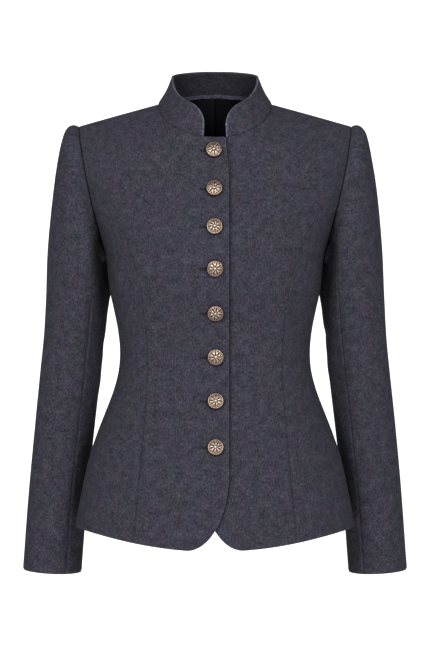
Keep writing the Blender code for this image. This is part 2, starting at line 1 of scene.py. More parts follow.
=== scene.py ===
"""Looks of a trachten jacket in charcoal melange wool, filled out as if worn.

The front faces -Y and the wearer's left is +X. Sizes are in millimetres until a mesh is made. Each
piece of cloth is a wall between two numpy grids: a function of two parameters gives its outer face,
creases and rolled edges move that along the surface's own directions, and the inner face lies one
cloth further in. The surfaces have the same formulas and sizes as the part's solids.
"""

import math

import bpy
import numpy as np
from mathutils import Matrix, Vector


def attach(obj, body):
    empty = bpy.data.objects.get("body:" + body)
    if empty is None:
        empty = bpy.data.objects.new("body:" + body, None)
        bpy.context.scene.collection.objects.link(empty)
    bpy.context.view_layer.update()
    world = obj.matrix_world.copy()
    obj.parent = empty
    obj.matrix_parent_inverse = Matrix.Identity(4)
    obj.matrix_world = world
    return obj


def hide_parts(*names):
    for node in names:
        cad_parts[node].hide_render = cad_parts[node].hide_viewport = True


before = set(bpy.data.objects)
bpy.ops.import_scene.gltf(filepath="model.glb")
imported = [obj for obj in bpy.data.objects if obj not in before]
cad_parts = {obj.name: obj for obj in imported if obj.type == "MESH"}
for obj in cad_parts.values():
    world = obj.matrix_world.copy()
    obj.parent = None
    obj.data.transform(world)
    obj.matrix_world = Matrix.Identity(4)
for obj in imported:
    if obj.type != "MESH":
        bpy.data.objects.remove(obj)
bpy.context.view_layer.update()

MM = 0.001
QUARTER = math.pi / 2
BODY = "root"

# Cloth
CLOTH = 2.2
SEAM_LAP = 0.06  # how far the panels reach into each other where they meet
COLLAR_WALL = 3.0
LINING_WALL = 0.8
LINING_GAP = 0.6
OVERLAP_GAP = 0.8

# Shoulder and neck
NECK_HALF = 78.5
NECK_DROP = 53.0
NECK_RISE = 20.0
SHOULDER_TIP = 187.7
SHOULDER_SLOPE = 0.28
RIDGE_ZERO = 82.0
FRONT_NECK_RIDGE = (67.0, 1.6)
BACK_NECK_RIDGE = (80.0, 0.75)
SHOULDER_ROLL = 75.0
ROLL_POWER = (0.5, 0.2)  # of the shoulder's roll, and what is added over the middle of the front
ROLL_POWER_FADE = (130.0, 50.0)  # how far out that ends, and over how much it fades
RIDGE_BAND = 0.5  # points this near the shoulder line face straight off it
BELOW_RIDGE = 1.2  # the others' directions are read at least this far below it
NECK_SLOPE = (0.5, 20.0)  # slope added beside the neck, and how far out it fades
ARMPIT = -206.5
ARMHOLE_BOW = 3.5

# Front closing and hem
OVERLAP = 18.4
OVERLAP_AT_NECK = 14.5
NARROWING = (-105.0, 52.0)  # height at which the overlap starts to narrow, and over how much
LIFT_FADE = (20.0, 55.0)  # from where the top front comes down again, and over how much
CORNER_TOP = -498.0
CORNER_FOOT = 37.0
TOP_CORNER = 3.5  # radius of the overlap's upper corner
COLLAR_END = 15.0
HEM_SIDE = -578.0
HEM_FRONT_DROP = 21.5
HEM_BACK_DROP = 6.0

# Seam places on the armhole, in degrees from the shoulder tip, and on the sleeve round its tube
FRONT_JUNCTION = 110.0
BACK_JUNCTION = 95.0
FRONT_SLEEVE_SEAM = 121.67
BACK_SLEEVE_SEAM = -109.17

COLLAR_CORNER = 27.0
COLLAR_HOLLOW = 0.35


def table(columns, *rows):
    """Sizes as {column name: array}."""
    return dict(zip(columns.split(), np.array(rows, float).T))


# Sections of the torso from the hem upwards: half width, depth in front of and behind the centre,
# the centre's own y and the exponent of the section
TORSO = table(
    "height half_width front back centre square",
    (-605, 195.0, 128, 150, -12, 2.1),
    (-570, 190.0, 127, 148, -12, 2.1),
    (-530, 182.6, 124, 143, -11, 2.1),
    (-486, 173.0, 118, 132, -9, 2.15),
    (-448, 160.5, 110, 115, -7, 2.2),
    (-421, 150.0, 104, 103, -5, 2.25),
    (-393, 139.5, 99, 91, -3, 2.3),
    (-365, 132.5, 97, 84, -1, 2.3),
    (-338, 131.0, 98, 81, 0, 2.3),
    (-310, 133.7, 103, 84, 0, 2.3),
    (-283, 139.0, 112, 89, 0, 2.3),
    (-255, 144.9, 122, 95, 0, 2.3),
    (-230, 147.6, 128, 101, 0, 2.3),
    (-206, 150.3, 129, 105, 0, 2.25),
    (-180, 158.0, 125, 107, 0, 2.2),
    (-150, 171.0, 118, 107, 0, 2.1),
    (-110, 188.0, 105, 103, 0, 1.95),
    (-70, 204.0, 91, 96, 0, 1.85),
    (-30, 215.0, 78, 84, 0, 1.75),
    (20, 219.0, 64, 68, 0, 1.7),
    (100, 222.0, 40, 50, 0, 1.7),
)

# Distance of the shaped seams from the centre line, up to the armhole
FRONT_SEAM = table(
    "height out",
    (-605, 109),
    (-547, 104),
    (-504, 100),
    (-413, 93),
    (-350, 90),
    (-283, 96),
    (-235, 104),
    (-204, 114),
    (-180, 124),
    (-163, 135),
)
BACK_SEAM = table(
    "height out",
    (-605, 82),
    (-530, 76),
    (-448, 68),
    (-365, 60),
    (-338, 59),
    (-283, 63),
    (-235, 74),
    (-195, 94),
    (-158, 128),
)

# Rings of the sleeve from the armhole to the cuff
SLEEVE = table(
    "outer_x outer_z inner_x inner_z depth centre",
    (187.7, -29.7, 150.2, -206.5, 45, 2),
    (194.5, -27.7, 151.2, -210, 47, 2),
    (201.5, -29.8, 150.9, -213, 49, 3),
    (207.0, -36, 150.6, -216, 51, 4),
    (211.3, -48, 150.1, -220, 53, 6),
    (216.8, -72, 149.4, -226, 55, 9),
    (222.4, -104, 148.7, -235, 57, 13),
    (228.0, -150, 147.4, -250, 58, 18),
    (233.2, -205, 147.0, -268, 58, 24),
    (235.9, -262, 149.8, -291, 56, 30),
    (239.4, -318, 154.2, -326, 53, 37),
    (245.3, -372, 159.9, -377, 50.5, 42),
    (252.6, -438, 168.0, -442, 48, 48),
    (262.2, -537, 178.8, -540, 45, 54),
    (270.6, -646.5, 187.8, -651.5, 43, 56),
)
HEAD_RINGS = 8  # table rings over which the armhole's own shape fades out

# The stand collar from the centre front to the back: height and inward lean in degrees
COLLAR = table(
    "turn height lean",
    (0, 43, 6),
    (45, 43, 22),
    (90, 42, 27),
    (135, 37, 20),
    (180, 35, 13),
)

# Soft creases of the body: each runs from a start to an end, given in degrees round the torso
# (wearer's left positive, centre front 0) and height, and has a width and a depth, where a ridge is
# positive and a trough negative
BODY_CREASES = table(
    "start_turn start_height end_turn end_height width depth",
    (28, -268, 62, -296, 13, -1.3),
    (34, -292, 70, -312, 11, 1.0),
    (58, -318, 84, -330, 12, -1.2),
    (-30, -262, -66, -300, 14, -1.4),
    (-40, -298, -72, -316, 11, 0.9),
    (-60, -330, -86, -338, 12, -1.1),
    (40, -348, 74, -362, 14, -0.9),
    (-44, -352, -70, -360, 12, -0.8),
    (66, -212, 58, -262, 12, 1.1),
    (-64, -208, -57, -268, 13, 1.2),
    (14, -200, 26, -246, 15, -0.7),
    (-16, -190, -30, -242, 16, -0.8),
    (46, -60, 40, -118, 13, -0.9),
    (-47, -58, -41, -124, 14, -0.9),
    (22, -420, 30, -520, 20, 0.8),
    (-26, -410, -33, -515, 19, 0.9),
    (60, -430, 66, -540, 21, -0.9),
    (-62, -440, -67, -545, 20, -0.8),
    (112, -300, 160, -322, 15, -1.5),
    (-115, -306, -158, -318, 15, -1.4),
    (120, -330, 172, -344, 13, 1.2),
    (-118, -336, -170, -352, 13, 1.1),
    (128, -360, 168, -372, 15, -1.2),
    (-130, -362, -171, -366, 14, -1.1),
    (118, -170, 140, -232, 15, -1.2),
    (-119, -166, -142, -238, 15, -1.3),
    (152, -70, 146, -150, 18, 0.8),
    (-154, -66, -147, -148, 18, 0.8),
    (150, -430, 156, -550, 22, 1.1),
    (-148, -425, -155, -550, 22, 1.0),
    (100, -420, 104, -540, 20, -0.9),
    (-101, -415, -105, -545, 20, -0.9),
)
CREASE_RADIUS = 130.0  # distance round the torso is counted at this radius
DRAPE_FADE = 22.0  # distance from a panel's edge over which its creases fade in

# Soft creases of a sleeve, in degrees round the tube (front positive) and table rings down it
SLEEVE_CREASES = table(
    "start_turn start_ring end_turn end_ring width depth",
    (60, 4.2, 104, 6.8, 11, -1.1),
    (96, 6.4, 110, 9.0, 8, 1.3),
    (112, 7.0, 118, 9.8, 7, -1.2),
    (80, 8.6, 128, 9.3, 10, -1.2),
    (84, 9.2, 140, 9.9, 9, 1.1),
    (78, 9.9, 132, 10.5, 10, -1.1),
    (90, 10.6, 138, 11.2, 10, 0.9),
    (40, 7.8, 84, 8.6, 15, -0.7),
    (30, 11.4, 74, 12.4, 16, 0.7),
    (-20, 4.0, -70, 6.6, 13, -1.0),
    (-60, 6.2, -96, 8.4, 12, 1.0),
    (-44, 8.9, -92, 9.4, 12, -1.0),
    (-50, 9.7, -98, 10.3, 11, 0.9),
    (150, 5.0, 166, 8.4, 9, -1.4),
    (186, 5.4, 190, 8.2, 9, 1.2),
    (210, 5.2, 228, 8.6, 10, -1.3),
    (150, 9.5, 214, 9.9, 11, -1.2),
    (148, 10.4, 208, 10.9, 11, 1.0),
)
SLEEVE_MILLIMETRES = (0.93, 52.0)  # for a degree round the tube, and for a table ring down it

# Edges: how far in from the edge the cloth starts to roll, and how deep
SEAM_ROLL = (2.4, 0.9)
FOLD_ROLL = (1.5, 0.9)
SEAM_PAINTED_SHADE = (1.5, -0.30)  # half width of the painted shade line in a seam's ditch, and its tone
FOLD_PAINTED_HIGHLIGHT = (1.3, 0.62)  # and of the painted highlight line on a folded edge
ARMHOLE_SEAM = 0.75  # how marked the seams are
SHAPED_SEAM = (0.4, 0.85)  # beside the chest and near the hem
SHAPED_SEAM_FADE = (-230.0, 220.0)  # height at which it starts to show more, and over how much
SLEEVE_SEAM = 0.85
SIDE_SEAM = 0.5
SHOULDER_SEAM = 0.4
COLLAR_SEAM = 0.9
OVERLAP_SHADE = (1.0, 3.4, -0.50)  # place, width and tone of the shade beside the top front
SIDE_SHADE = (9.0, -0.13)  # reach and tone of the painted shade towards the side seam
UNDERARM_SHADE = (5.0, -0.70)  # and of the deeper painted shade there under the arm
UNDERARM_FOOT = (-300.0, 70.0)  # height at which that starts, and over how much it grows
FACING = 62.0  # wool facing inside the front edge
TURN_UP = 36.0  # wool turned up inside the hem and the cuff


def smooth(at, knots, values):
    """A smooth curve through the knots: cubic pieces, whose slope at a knot is the mean of the
    slopes on its two sides."""
    slopes = np.gradient(values, knots)
    at = np.asarray(at, float)
    first = np.clip(np.searchsorted(knots, at) - 1, 0, len(knots) - 2)
    width = knots[first + 1] - knots[first]
    t = (at - knots[first]) / width
    rise = values[first + 1] - values[first]
    bend_in = slopes[first] * width - rise
    bend_out = rise - slopes[first + 1] * width
    return values[first] + t * rise + t * (1 - t) * ((1 - t) * bend_in + t * bend_out)


def step_up(t):
    """0 below 0, 1 above 1 and t t (3 - 2 t) between."""
    t = np.clip(t, 0, 1)
    return t * t * (3 - 2 * t)


def signed_power(values, exponent):
    return np.sign(values) * np.abs(values) ** exponent


def graded(count, first, last, first_run=8, last_run=8):
    """Shares from 0 to 1 in count steps. The first and last steps are that much smaller than the
    middle ones, and grow evenly to full size over the given runs of steps."""
    i = np.arange(count) + 0.5
    opening = np.minimum(1, first + (1 - first) * i / first_run)
    closing = np.minimum(1, last + (1 - last) * (count - i) / last_run)
    return np.concatenate([[0], np.cumsum(opening * closing)]) / np.sum(opening * closing)


# Form of the torso


def ridge_height(x, behind=False):
    """Height of the shoulder line: it falls by the slope outwards, and rises inside the neck as a
    power of the share of the way in."""
    inside = np.clip((NECK_HALF - np.abs(x)) / NECK_HALF, 0, 1)
    front_rise = FRONT_NECK_RIDGE[0] * inside ** FRONT_NECK_RIDGE[1]
    back_rise = BACK_NECK_RIDGE[0] * inside ** BACK_NECK_RIDGE[1]
    return SHOULDER_SLOPE * (RIDGE_ZERO - np.abs(x)) + np.where(behind, back_rise, front_rise)


def section(height):
    """The torso's section at a height, as {column name: value}."""
    return {name: smooth(height, TORSO["height"], column) for name, column in TORSO.items()}


def torso(angle, height):
    """A superellipse at each height, x = w sin^(2/n) and y = c - d cos^(2/n), whose depth closes
    at the top as (1 - (1 - b)^2)^s, with b the depth below the shoulder line over the roll."""
    cut = section(height)
    behind = np.cos(angle) < 0
    x = cut["half_width"] * signed_power(np.sin(angle), 2 / cut["square"])
    below = np.clip((ridge_height(x, behind) - height) / SHOULDER_ROLL, 0, 1)
    power, added = ROLL_POWER
    reach, fade = ROLL_POWER_FADE
    sharpness = power + added * np.clip((reach - np.abs(x)) / fade, 0, 1) * ~behind
    roll = (1 - (1 - below) ** 2) ** sharpness
    depth = np.where(behind, cut["back"], cut["front"])
    y = cut["centre"] - depth * signed_power(np.cos(angle), 2 / cut["square"]) * roll
    return np.stack([x, y, np.broadcast_to(height, x.shape)], axis=-1)


def angle_at(x, height, behind=False):
    """The angle at which the torso's surface lies x out from the centre."""
    cut = section(height)
    share = np.clip(np.abs(x) / cut["half_width"], 0, 1) ** (cut["square"] / 2)
    angle = np.sign(x) * np.arcsin(share)
    return math.pi - angle if behind else angle


def outward(angle, height, step=1e-3):
    """Unit normals: the cross product of the slopes both ways. Along the shoulder line they point
    straight off the ridge, so that front and back meet there edge to edge."""
    x = torso(angle, height)[..., 0]
    ridge = ridge_height(x, np.cos(angle) < 0)
    on_ridge = (height > ridge - RIDGE_BAND)[..., None]
    height = np.minimum(height, ridge - BELOW_RIDGE)
    along = torso(angle + step, height) - torso(angle - step, height)
    up = torso(angle, height + 1000 * step) - torso(angle, height - 1000 * step)
    added, fade = NECK_SLOPE
    slope = SHOULDER_SLOPE + added * np.clip((NECK_HALF + fade - np.abs(x)) / fade, 0, 1)
    off_ridge = np.stack([slope * np.sign(x), 0 * x, 1 + 0 * x], axis=-1)
    normal = np.where(on_ridge, off_ridge, np.cross(along, up))
    return normal / np.linalg.norm(normal, axis=-1, keepdims=True)


def lift_of(x):
    """How far the front that lies on top stands off the torso's surface, x out from the centre."""
    start, run = LIFT_FADE
    return (CLOTH + OVERLAP_GAP) * (1 - step_up((x - start) / run))


# Outlines of the panels, in x and height


def run_along(line):
    """How far along a line of points each of its points lies."""
    return np.concatenate([[0], np.cumsum(np.linalg.norm(np.diff(line, axis=0), axis=1))])


def along(line, shares):
    """Points at the given shares of a line's length."""
    run = run_along(line)
    return np.stack([np.interp(shares * run[-1], run, column) for column in line.T], axis=-1)


def armhole(degrees):
    """x and height of the armhole, from the shoulder tip (0) to the armpit (180): straight, with a
    small bow as the square of the sine."""
    share = (1 - np.cos(np.radians(degrees))) / 2
    tip_height = ridge_height(SHOULDER_TIP)
    x = SHOULDER_TIP + (section(ARMPIT)["half_width"] - SHOULDER_TIP) * share
    bow = ARMHOLE_BOW * np.sin(np.radians(degrees)) ** 2
    return x + bow, tip_height + (ARMPIT - tip_height) * share


def armhole_line(start, end):
    return np.stack(armhole(np.linspace(start, end, 300)), axis=-1)


def hem_height(angle):
    """The hem drops towards the centre front and the centre back as the cube of the cosine."""
    cosine = np.cos(angle)
    return HEM_SIDE - np.where(cosine > 0, HEM_FRONT_DROP, HEM_BACK_DROP) * np.abs(cosine) ** 3


def shaped_seam(seam, junction, behind):
    """A seam from the hem to the armhole, through its table and its junction."""
    end_x, end_height = armhole(junction)
    heights = np.append(seam["height"], end_height)
    outs = np.append(seam["out"], end_x)
    foot_angle = angle_at(np.interp(HEM_SIDE, heights, outs), HEM_SIDE, behind)
    height = np.linspace(hem_height(foot_angle), end_height, 500)
    return np.stack([smooth(height, heights, outs), height], axis=-1)


def neck_points(turn, behind):
    """x and height on the neck line, a quarter ellipse seen from the front: the turn goes from
    the centre to the neck point in a quarter."""
    point_height = ridge_height(np.array(NECK_HALF))
    drop = NECK_RISE if behind else -NECK_DROP
    height = point_height + (drop - point_height) * np.cos(turn)
    return np.stack([NECK_HALF * np.sin(turn), height], axis=-1)


def neck_line(start_turn, end_turn, behind):
    return neck_points(np.linspace(start_turn, end_turn, 300), behind)


def shoulder_line():
    """The shoulder seam, from the neck point to the tip."""
    x = np.linspace(NECK_HALF, SHOULDER_TIP, 100)
    return np.stack([x, ridge_height(x)], axis=-1)


def front_edge():
    """The front edge, in two lines that meet at the height of the junction: the rounded corner and
    the straight overlap, then the upper part, whose last corner is rounded a little."""
    foot_height = hem_height(angle_at(CORNER_FOOT, HEM_SIDE))
    turn = np.linspace(QUARTER, 0, 200)
    corner_x = -OVERLAP + (OVERLAP + CORNER_FOOT) * (1 - np.cos(turn))
    corner_height = CORNER_TOP + (foot_height - CORNER_TOP) * np.sin(turn)
    junction_height = armhole(FRONT_JUNCTION)[1]
    low = np.linspace(CORNER_TOP, junction_height, 300)[1:]
    high = np.linspace(junction_height, -NECK_DROP, 300)
    low_line = np.stack([-OVERLAP + 0 * low, low], axis=-1)
    corner = np.stack([corner_x, corner_height], axis=-1)
    start, run = NARROWING
    narrowing = (OVERLAP - OVERLAP_AT_NECK) * step_up((high - start) / run)
    into_corner = np.clip(1 - (-NECK_DROP - high) / TOP_CORNER, 0, 1)
    rounding = TOP_CORNER * (1 - np.sqrt(1 - into_corner**2))
    high_line = np.stack([-OVERLAP + narrowing + rounding, high], axis=-1)
    return np.concatenate([corner, low_line]), high_line


def on_torso(line, behind):
    """x and height of a line's points turned into (angle, height)."""
    return np.stack([angle_at(line[:, 0], line[:, 1], behind), line[:, 1]], axis=-1)


def hem_between(left, right, shares):
    angle = left[0, 0] + (right[0, 0] - left[0, 0]) * shares
    return np.stack([angle, hem_height(angle)], axis=-1)


def patch(bottom, top, left, right, u, v):
    """A grid of (angle, height) inside four edges: rows run straight from left to right, plus the
    bends of the bottom and top edges, which fade as (1 - v)^2 and v^2."""
    u, v = u[None, :, None], v[:, None, None]
    ruled = left[:, None] * (1 - u) + right[:, None] * u
    bottom_bend = bottom - (bottom[0] * (1 - u) + bottom[-1] * u)
    top_bend = top - (top[0] * (1 - u) + top[-1] * u)
    return ruled + (1 - v) ** 2 * bottom_bend + v**2 * top_bend


def joined(*shares_and_weights):
    """Runs of shares put end to end, each given its weight of the whole."""
    parts, start = [np.zeros(1)], 0.0
    for shares, weight in shares_and_weights:
        parts.append(start + weight * shares[1:])
        start += weight
    return np.concatenate(parts)


# Counts and grading of the fine grids
LOW = graded(130, 0.3, 1.0)
HIGH = graded(72, 1.0, 0.004, last_run=36)
LOW_WEIGHT = 0.72
SIDE_U = graded(58, 0.25, 0.25)
NECK_U = graded(54, 0.25, 1.0)
SHOULDER_U = graded(34, 1.0, 0.25)
NECK_WEIGHT = 0.6
BACK_NECK_U = graded(44, 1.0, 1.0)


def front_panel():
    """(angle, height) of the left front, from its edge to its shaped seam and armhole."""
    low_edge, high_edge = front_edge()
    left = np.concatenate([along(low_edge, LOW), along(high_edge, HIGH)[1:]])
    seam = shaped_seam(FRONT_SEAM, FRONT_JUNCTION, behind=False)
    right = np.concatenate([along(seam, LOW), along(armhole_line(FRONT_JUNCTION, 0), HIGH)[1:]])
    left, right = on_torso(left, False), on_torso(right, False)
    u = joined((NECK_U, NECK_WEIGHT), (SHOULDER_U, 1 - NECK_WEIGHT))
    edge_turn = -math.asin((OVERLAP_AT_NECK - TOP_CORNER) / NECK_HALF)
    neck = along(neck_line(edge_turn, QUARTER, behind=False), NECK_U)
    top = on_torso(np.concatenate([neck, along(shoulder_line(), SHOULDER_U)[1:]]), False)
    left[-1], right[-1] = top[0], top[-1]
    v = joined((LOW, LOW_WEIGHT), (HIGH, 1 - LOW_WEIGHT))
    return patch(hem_between(left, right, u), top, left, right, u, v)


def side_panel(seam, junction, behind):
    """(angle, height) of a left side panel, from its shaped seam to the side seam."""
    left = on_torso(along(shaped_seam(seam, junction, behind), LOW), behind)
    side = np.stack([QUARTER + 0 * LOW, HEM_SIDE + (ARMPIT - HEM_SIDE) * LOW], axis=-1)
    top = on_torso(along(armhole_line(junction, 180), SIDE_U), behind)
    side[-1] = top[-1]
    return patch(hem_between(left, side, SIDE_U), top, left, side, SIDE_U, LOW)


def side_shade(grid):
    """Painted shade of a side panel: it falls off exponentially with the distance in from the
    torso's widest line, and is deeper under the arm."""
    angle, height = grid[..., 0], grid[..., 1]
    inset = section(height)["half_width"] - torso(angle, height)[..., 0]
    foot, growth = UNDERARM_FOOT
    under = UNDERARM_SHADE[1] * np.exp(-inset / UNDERARM_SHADE[0])
    under = under * step_up((height - foot) / growth)
    return SIDE_SHADE[1] * np.exp(-inset / SIDE_SHADE[0]) + under


def back_panel():
    """(angle, height) of the whole back, from its left seam and armhole to its right ones."""
    seam = shaped_seam(BACK_SEAM, BACK_JUNCTION, behind=True)
    left = np.concatenate([along(seam, LOW), along(armhole_line(BACK_JUNCTION, 0), HIGH)[1:]])
    left = on_torso(left, True)
    inward_u = 1 - SHOULDER_U[::-1]
    shoulder = on_torso(along(shoulder_line()[::-1], inward_u), True)
    neck = on_torso(along(neck_line(QUARTER, 0, behind=True), BACK_NECK_U), True)
    half = np.concatenate([shoulder, neck[1:]])
    mirror = np.array([-1, 1])
    whole_turn = np.array([2 * math.pi, 0])
    top = np.concatenate([half, (whole_turn + half[::-1] * mirror)[1:]])
    right = whole_turn + left * mirror
    left[-1], right[-1] = top[0], top[-1]
    half_u = joined((inward_u, 0.5), (BACK_NECK_U, 0.5)) / 2
    u = np.concatenate([half_u, (1 - half_u[::-1])[1:]])
    v = joined((LOW, LOW_WEIGHT), (HIGH, 1 - LOW_WEIGHT))
    return patch(hem_between(left, right, u), top, left, right, u, v)


# Creases, rolled edges and the two faces of a cloth


def crease_sum(rows, across, down, wrap=None):
    """The sum of soft creases at points given in millimetres: each is its depth times
    exp(-(d / width)^2), with d the distance to its line, and is lower towards the line's ends."""
    total = np.zeros(across.shape)
    for start_a, start_b, end_a, end_b, width, depth in rows:
        offset = across - start_a
        if wrap:
            offset = (offset + wrap / 2) % wrap - wrap / 2
        line_a, line_b = end_a - start_a, end_b - start_b
        length = math.hypot(line_a, line_b)
        t = np.clip((offset * line_a + (down - start_b) * line_b) / length**2, 0, 1)
        distance = np.hypot(offset - t * line_a, down - start_b - t * line_b)
        total += depth * (0.3 + 0.7 * np.sin(math.pi * t)) * np.exp(-((distance / width) ** 2))
    return total


def body_drape(angle, height, side):
    """Creases of the body and the cloth's own slow unevenness, a few long waves."""
    degrees = math.radians(1) * CREASE_RADIUS
    names = ("start_turn", "start_height", "end_turn", "end_height", "width", "depth")
    scale = (degrees, 1, degrees, 1, 1, 1)
    rows = zip(*(BODY_CREASES[name] * by for name, by in zip(names, scale)))
    across = side * angle * CREASE_RADIUS
    wave = 0.35 * np.sin(across / 31 + height / 47) * np.sin(height / 38 - across / 83)
    wave += 0.22 * np.sin(across / 13 - height / 61 + 1.3) * np.sin(height / 29 + across / 57)
    return crease_sum(rows, across, height, 2 * math.pi * CREASE_RADIUS) + wave


def edge_roll(distance, roll):
    """How deep the cloth has rolled in at a distance from its edge, as a quarter of a circle."""
    width, depth = roll
    inside = np.clip(1 - distance / width, 0, 1)
    return depth * (1 - np.sqrt(1 - inside**2))


def runs(points):
    """Distances along the rows and along the columns of a grid of points."""
    by_row = np.linalg.norm(np.diff(points, axis=1), axis=-1)
    by_column = np.linalg.norm(np.diff(points, axis=0), axis=-1)
    across = np.concatenate([np.zeros((len(points), 1)), np.cumsum(by_row, axis=1)], axis=1)
    up = np.concatenate([np.zeros((1, points.shape[1])), np.cumsum(by_column, axis=0)])
    return across, up


def edge_distances(points):
    """Distances of a grid's points from its four edges."""
    across, up = runs(points)
    return {
        "left": across,
        "right": across[:, -1:] - across,
        "bottom": up,
        "top": up[-1:] - up,
    }


def drawn_in(grid, amount):
    """The grid with each edge moved along the cloth towards its inside."""
    grid = grid.copy()
    for _ in range(4):
        toward = grid[1] - grid[0]
        grid[0] += amount * toward / np.linalg.norm(toward, axis=-1, keepdims=True)
        grid = np.rot90(grid)
    return grid


def shaped_walls(skin, normal, wall, edges, distances):
    """Outer and inner points of a cloth and the painted light and shade of each: seams roll in and
    carry a painted shade line, folded edges roll in from both faces and carry a painted highlight."""
    outer_dip = np.zeros(skin.shape[:2])
    inner_dip = np.zeros(skin.shape[:2])
    tone = np.zeros(skin.shape[:2])
    for name, (finish, weight) in edges.items():
        if finish == "seam":
            outer_dip = np.maximum(outer_dip, weight * edge_roll(distances[name], SEAM_ROLL))
            # Painted shade: a darker line along the seam's ditch.
            tone = tone + weight * SEAM_PAINTED_SHADE[1] * np.exp(-((distances[name] / SEAM_PAINTED_SHADE[0]) ** 2))
        if finish == "fold":
            dip = weight * edge_roll(distances[name], FOLD_ROLL)
            outer_dip = np.maximum(outer_dip, dip)
            inner_dip = np.maximum(inner_dip, dip)
            # Painted highlight: a lighter line where a folded edge catches the light.
            tone = tone + weight * FOLD_PAINTED_HIGHLIGHT[1] * np.exp(-((distances[name] / FOLD_PAINTED_HIGHLIGHT[0]) ** 2))
    base = drawn_in(skin, -SEAM_LAP / 2)
    outer = base - outer_dip[..., None] * normal
    inner = base - (wall - inner_dip)[..., None] * normal
    return outer, inner, tone


def grid_faces(rows, columns):
    """Quads of a grid, two faces and the rim of the wall between them."""
    index = np.arange(rows * columns).reshape(rows, columns)
    quads = [index[:-1, :-1], index[:-1, 1:], index[1:, 1:], index[1:, :-1]]
    quads = np.stack(quads, axis=-1).reshape(-1, 4)
    rim = np.concatenate([index[0, :-1], index[:-1, -1], index[-1, :0:-1], index[:0:-1, 0]])
    following = np.roll(rim, -1)
    shift = rows * columns
    band = np.stack([following, rim, rim + shift, following + shift], axis=-1)
    return quads, quads[:, ::-1] + shift, band


def shaped_seam_weight(height):
    """The shaped seams are flatter beside the chest than below the waist."""
    above, below = SHAPED_SEAM
    start, run = SHAPED_SEAM_FADE
    return above + (below - above) * step_up((start - height) / run)


def enclosed(points, faces):
    """Six times the volume that quads enclose, positive where they face outwards."""
    a, b, c, d = (points[faces[:, i]] for i in range(4))
    return float(np.sum(a * (np.cross(b, c) + np.cross(c, d))))


def add_piece(name, points, faces, materials, uv=None, tone=None, slots=None):
    """A mesh object at the origin from points in millimetres, with its cloth map and its painted
    light and shade.
    """
    if enclosed(points, faces) < 0:
        faces = faces[:, ::-1]
    mesh = bpy.data.meshes.new(name)
    mesh.from_pydata((points * MM).tolist(), [], faces.tolist())
    for finish in materials:
        mesh.materials.append(finish)
    if slots is not None:
        mesh.polygons.foreach_set("material_index", slots.astype(np.int32))
    if uv is not None:
        corner = np.zeros(len(mesh.loops), np.int32)
        mesh.loops.foreach_get("vertex_index", corner)
        layer = mesh.uv_layers.new(name="cloth")
        layer.data.foreach_set("uv", (uv[corner] * MM).astype(np.float32).ravel())
    if tone is not None:
        attribute = mesh.attributes.new("tone", "FLOAT", "POINT")
        attribute.data.foreach_set("value", tone.astype(np.float32))
    mesh.shade_smooth()
    mesh.update()
    piece = bpy.data.objects.new(name, mesh)
    bpy.context.scene.collection.objects.link(piece)
    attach(piece, BODY)
    return piece


def cloth_piece(
    node, outer, inner, uv, tone, lined, materials
):
    """A closed cloth wall that replaces its node."""
    rows, columns = outer.shape[:2]
    outside, inside, band = grid_faces(rows, columns)
    points = np.concatenate([outer.reshape(-1, 3), inner.reshape(-1, 3)])
    faces = np.concatenate([outside, inside, band])
    lined_quads = lined[:-1, :-1] & lined[:-1, 1:] & lined[1:, 1:] & lined[1:, :-1]
    slots = np.concatenate([np.zeros(len(outside)), lined_quads.reshape(-1), np.zeros(len(band))])
    flat_uv = uv.reshape(-1, 2)
    both_uv = np.concatenate([flat_uv, flat_uv + np.array([340.0, 170.0])])
    # The inner face keeps only the painted highlights.
    both_painted_shading = np.concatenate([tone.reshape(-1), np.clip(tone.reshape(-1), 0, None)])
    piece = add_piece(f"{node}_cloth", points, faces, materials, both_uv, both_painted_shading, slots)
    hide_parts(node)


def to_right(points):
    """The same points on the wearer's right side."""
    return points * np.array([-1, 1, 1])


def in_surface(guide, normal):
    """The direction in the surface that is nearest to a guide: the guide less its part along the
    normal."""
    part = guide - (normal * guide).sum(axis=-1, keepdims=True) * normal
    return part / np.linalg.norm(part, axis=-1, keepdims=True)


def cloth_steps(points, level, upright):
    """The sums of a grid's steps along its rows and along its columns, with each step measured
    along the cloth's level and upright directions."""
    axes = np.stack([level, upright], axis=-2)
    by_row = np.einsum("ijk,ijlk->ijl", np.diff(points, axis=1), (axes[:, 1:] + axes[:, :-1]) / 2)
    by_column = np.einsum("ijk,ijlk->ijl", np.diff(points, axis=0), (axes[1:] + axes[:-1]) / 2)
    rows, columns = points.shape[:2]
    along_rows = np.concatenate([np.zeros((rows, 1, 2)), np.cumsum(by_row, axis=1)], axis=1)
    along_columns = np.concatenate([np.zeros((1, columns, 2)), np.cumsum(by_column, axis=0)])
    return along_rows, along_columns


def cloth_map(points, normal, offset, across=None):
    """Cloth coordinates in millimetres: along the first row of the grid, and from there along its
    columns. The upright direction follows Z. Where a direction across is given, the level one
    follows it instead."""
    if across is None:
        upright = in_surface(np.array([0, 0, 1.0]), normal)
        level = np.cross(upright, normal)
    else:
        level = in_surface(np.array(across, float), normal)
        upright = np.cross(normal, level)
    along_rows, along_columns = cloth_steps(points, level, upright)
    return along_rows[:1] + along_columns + np.asarray(offset)


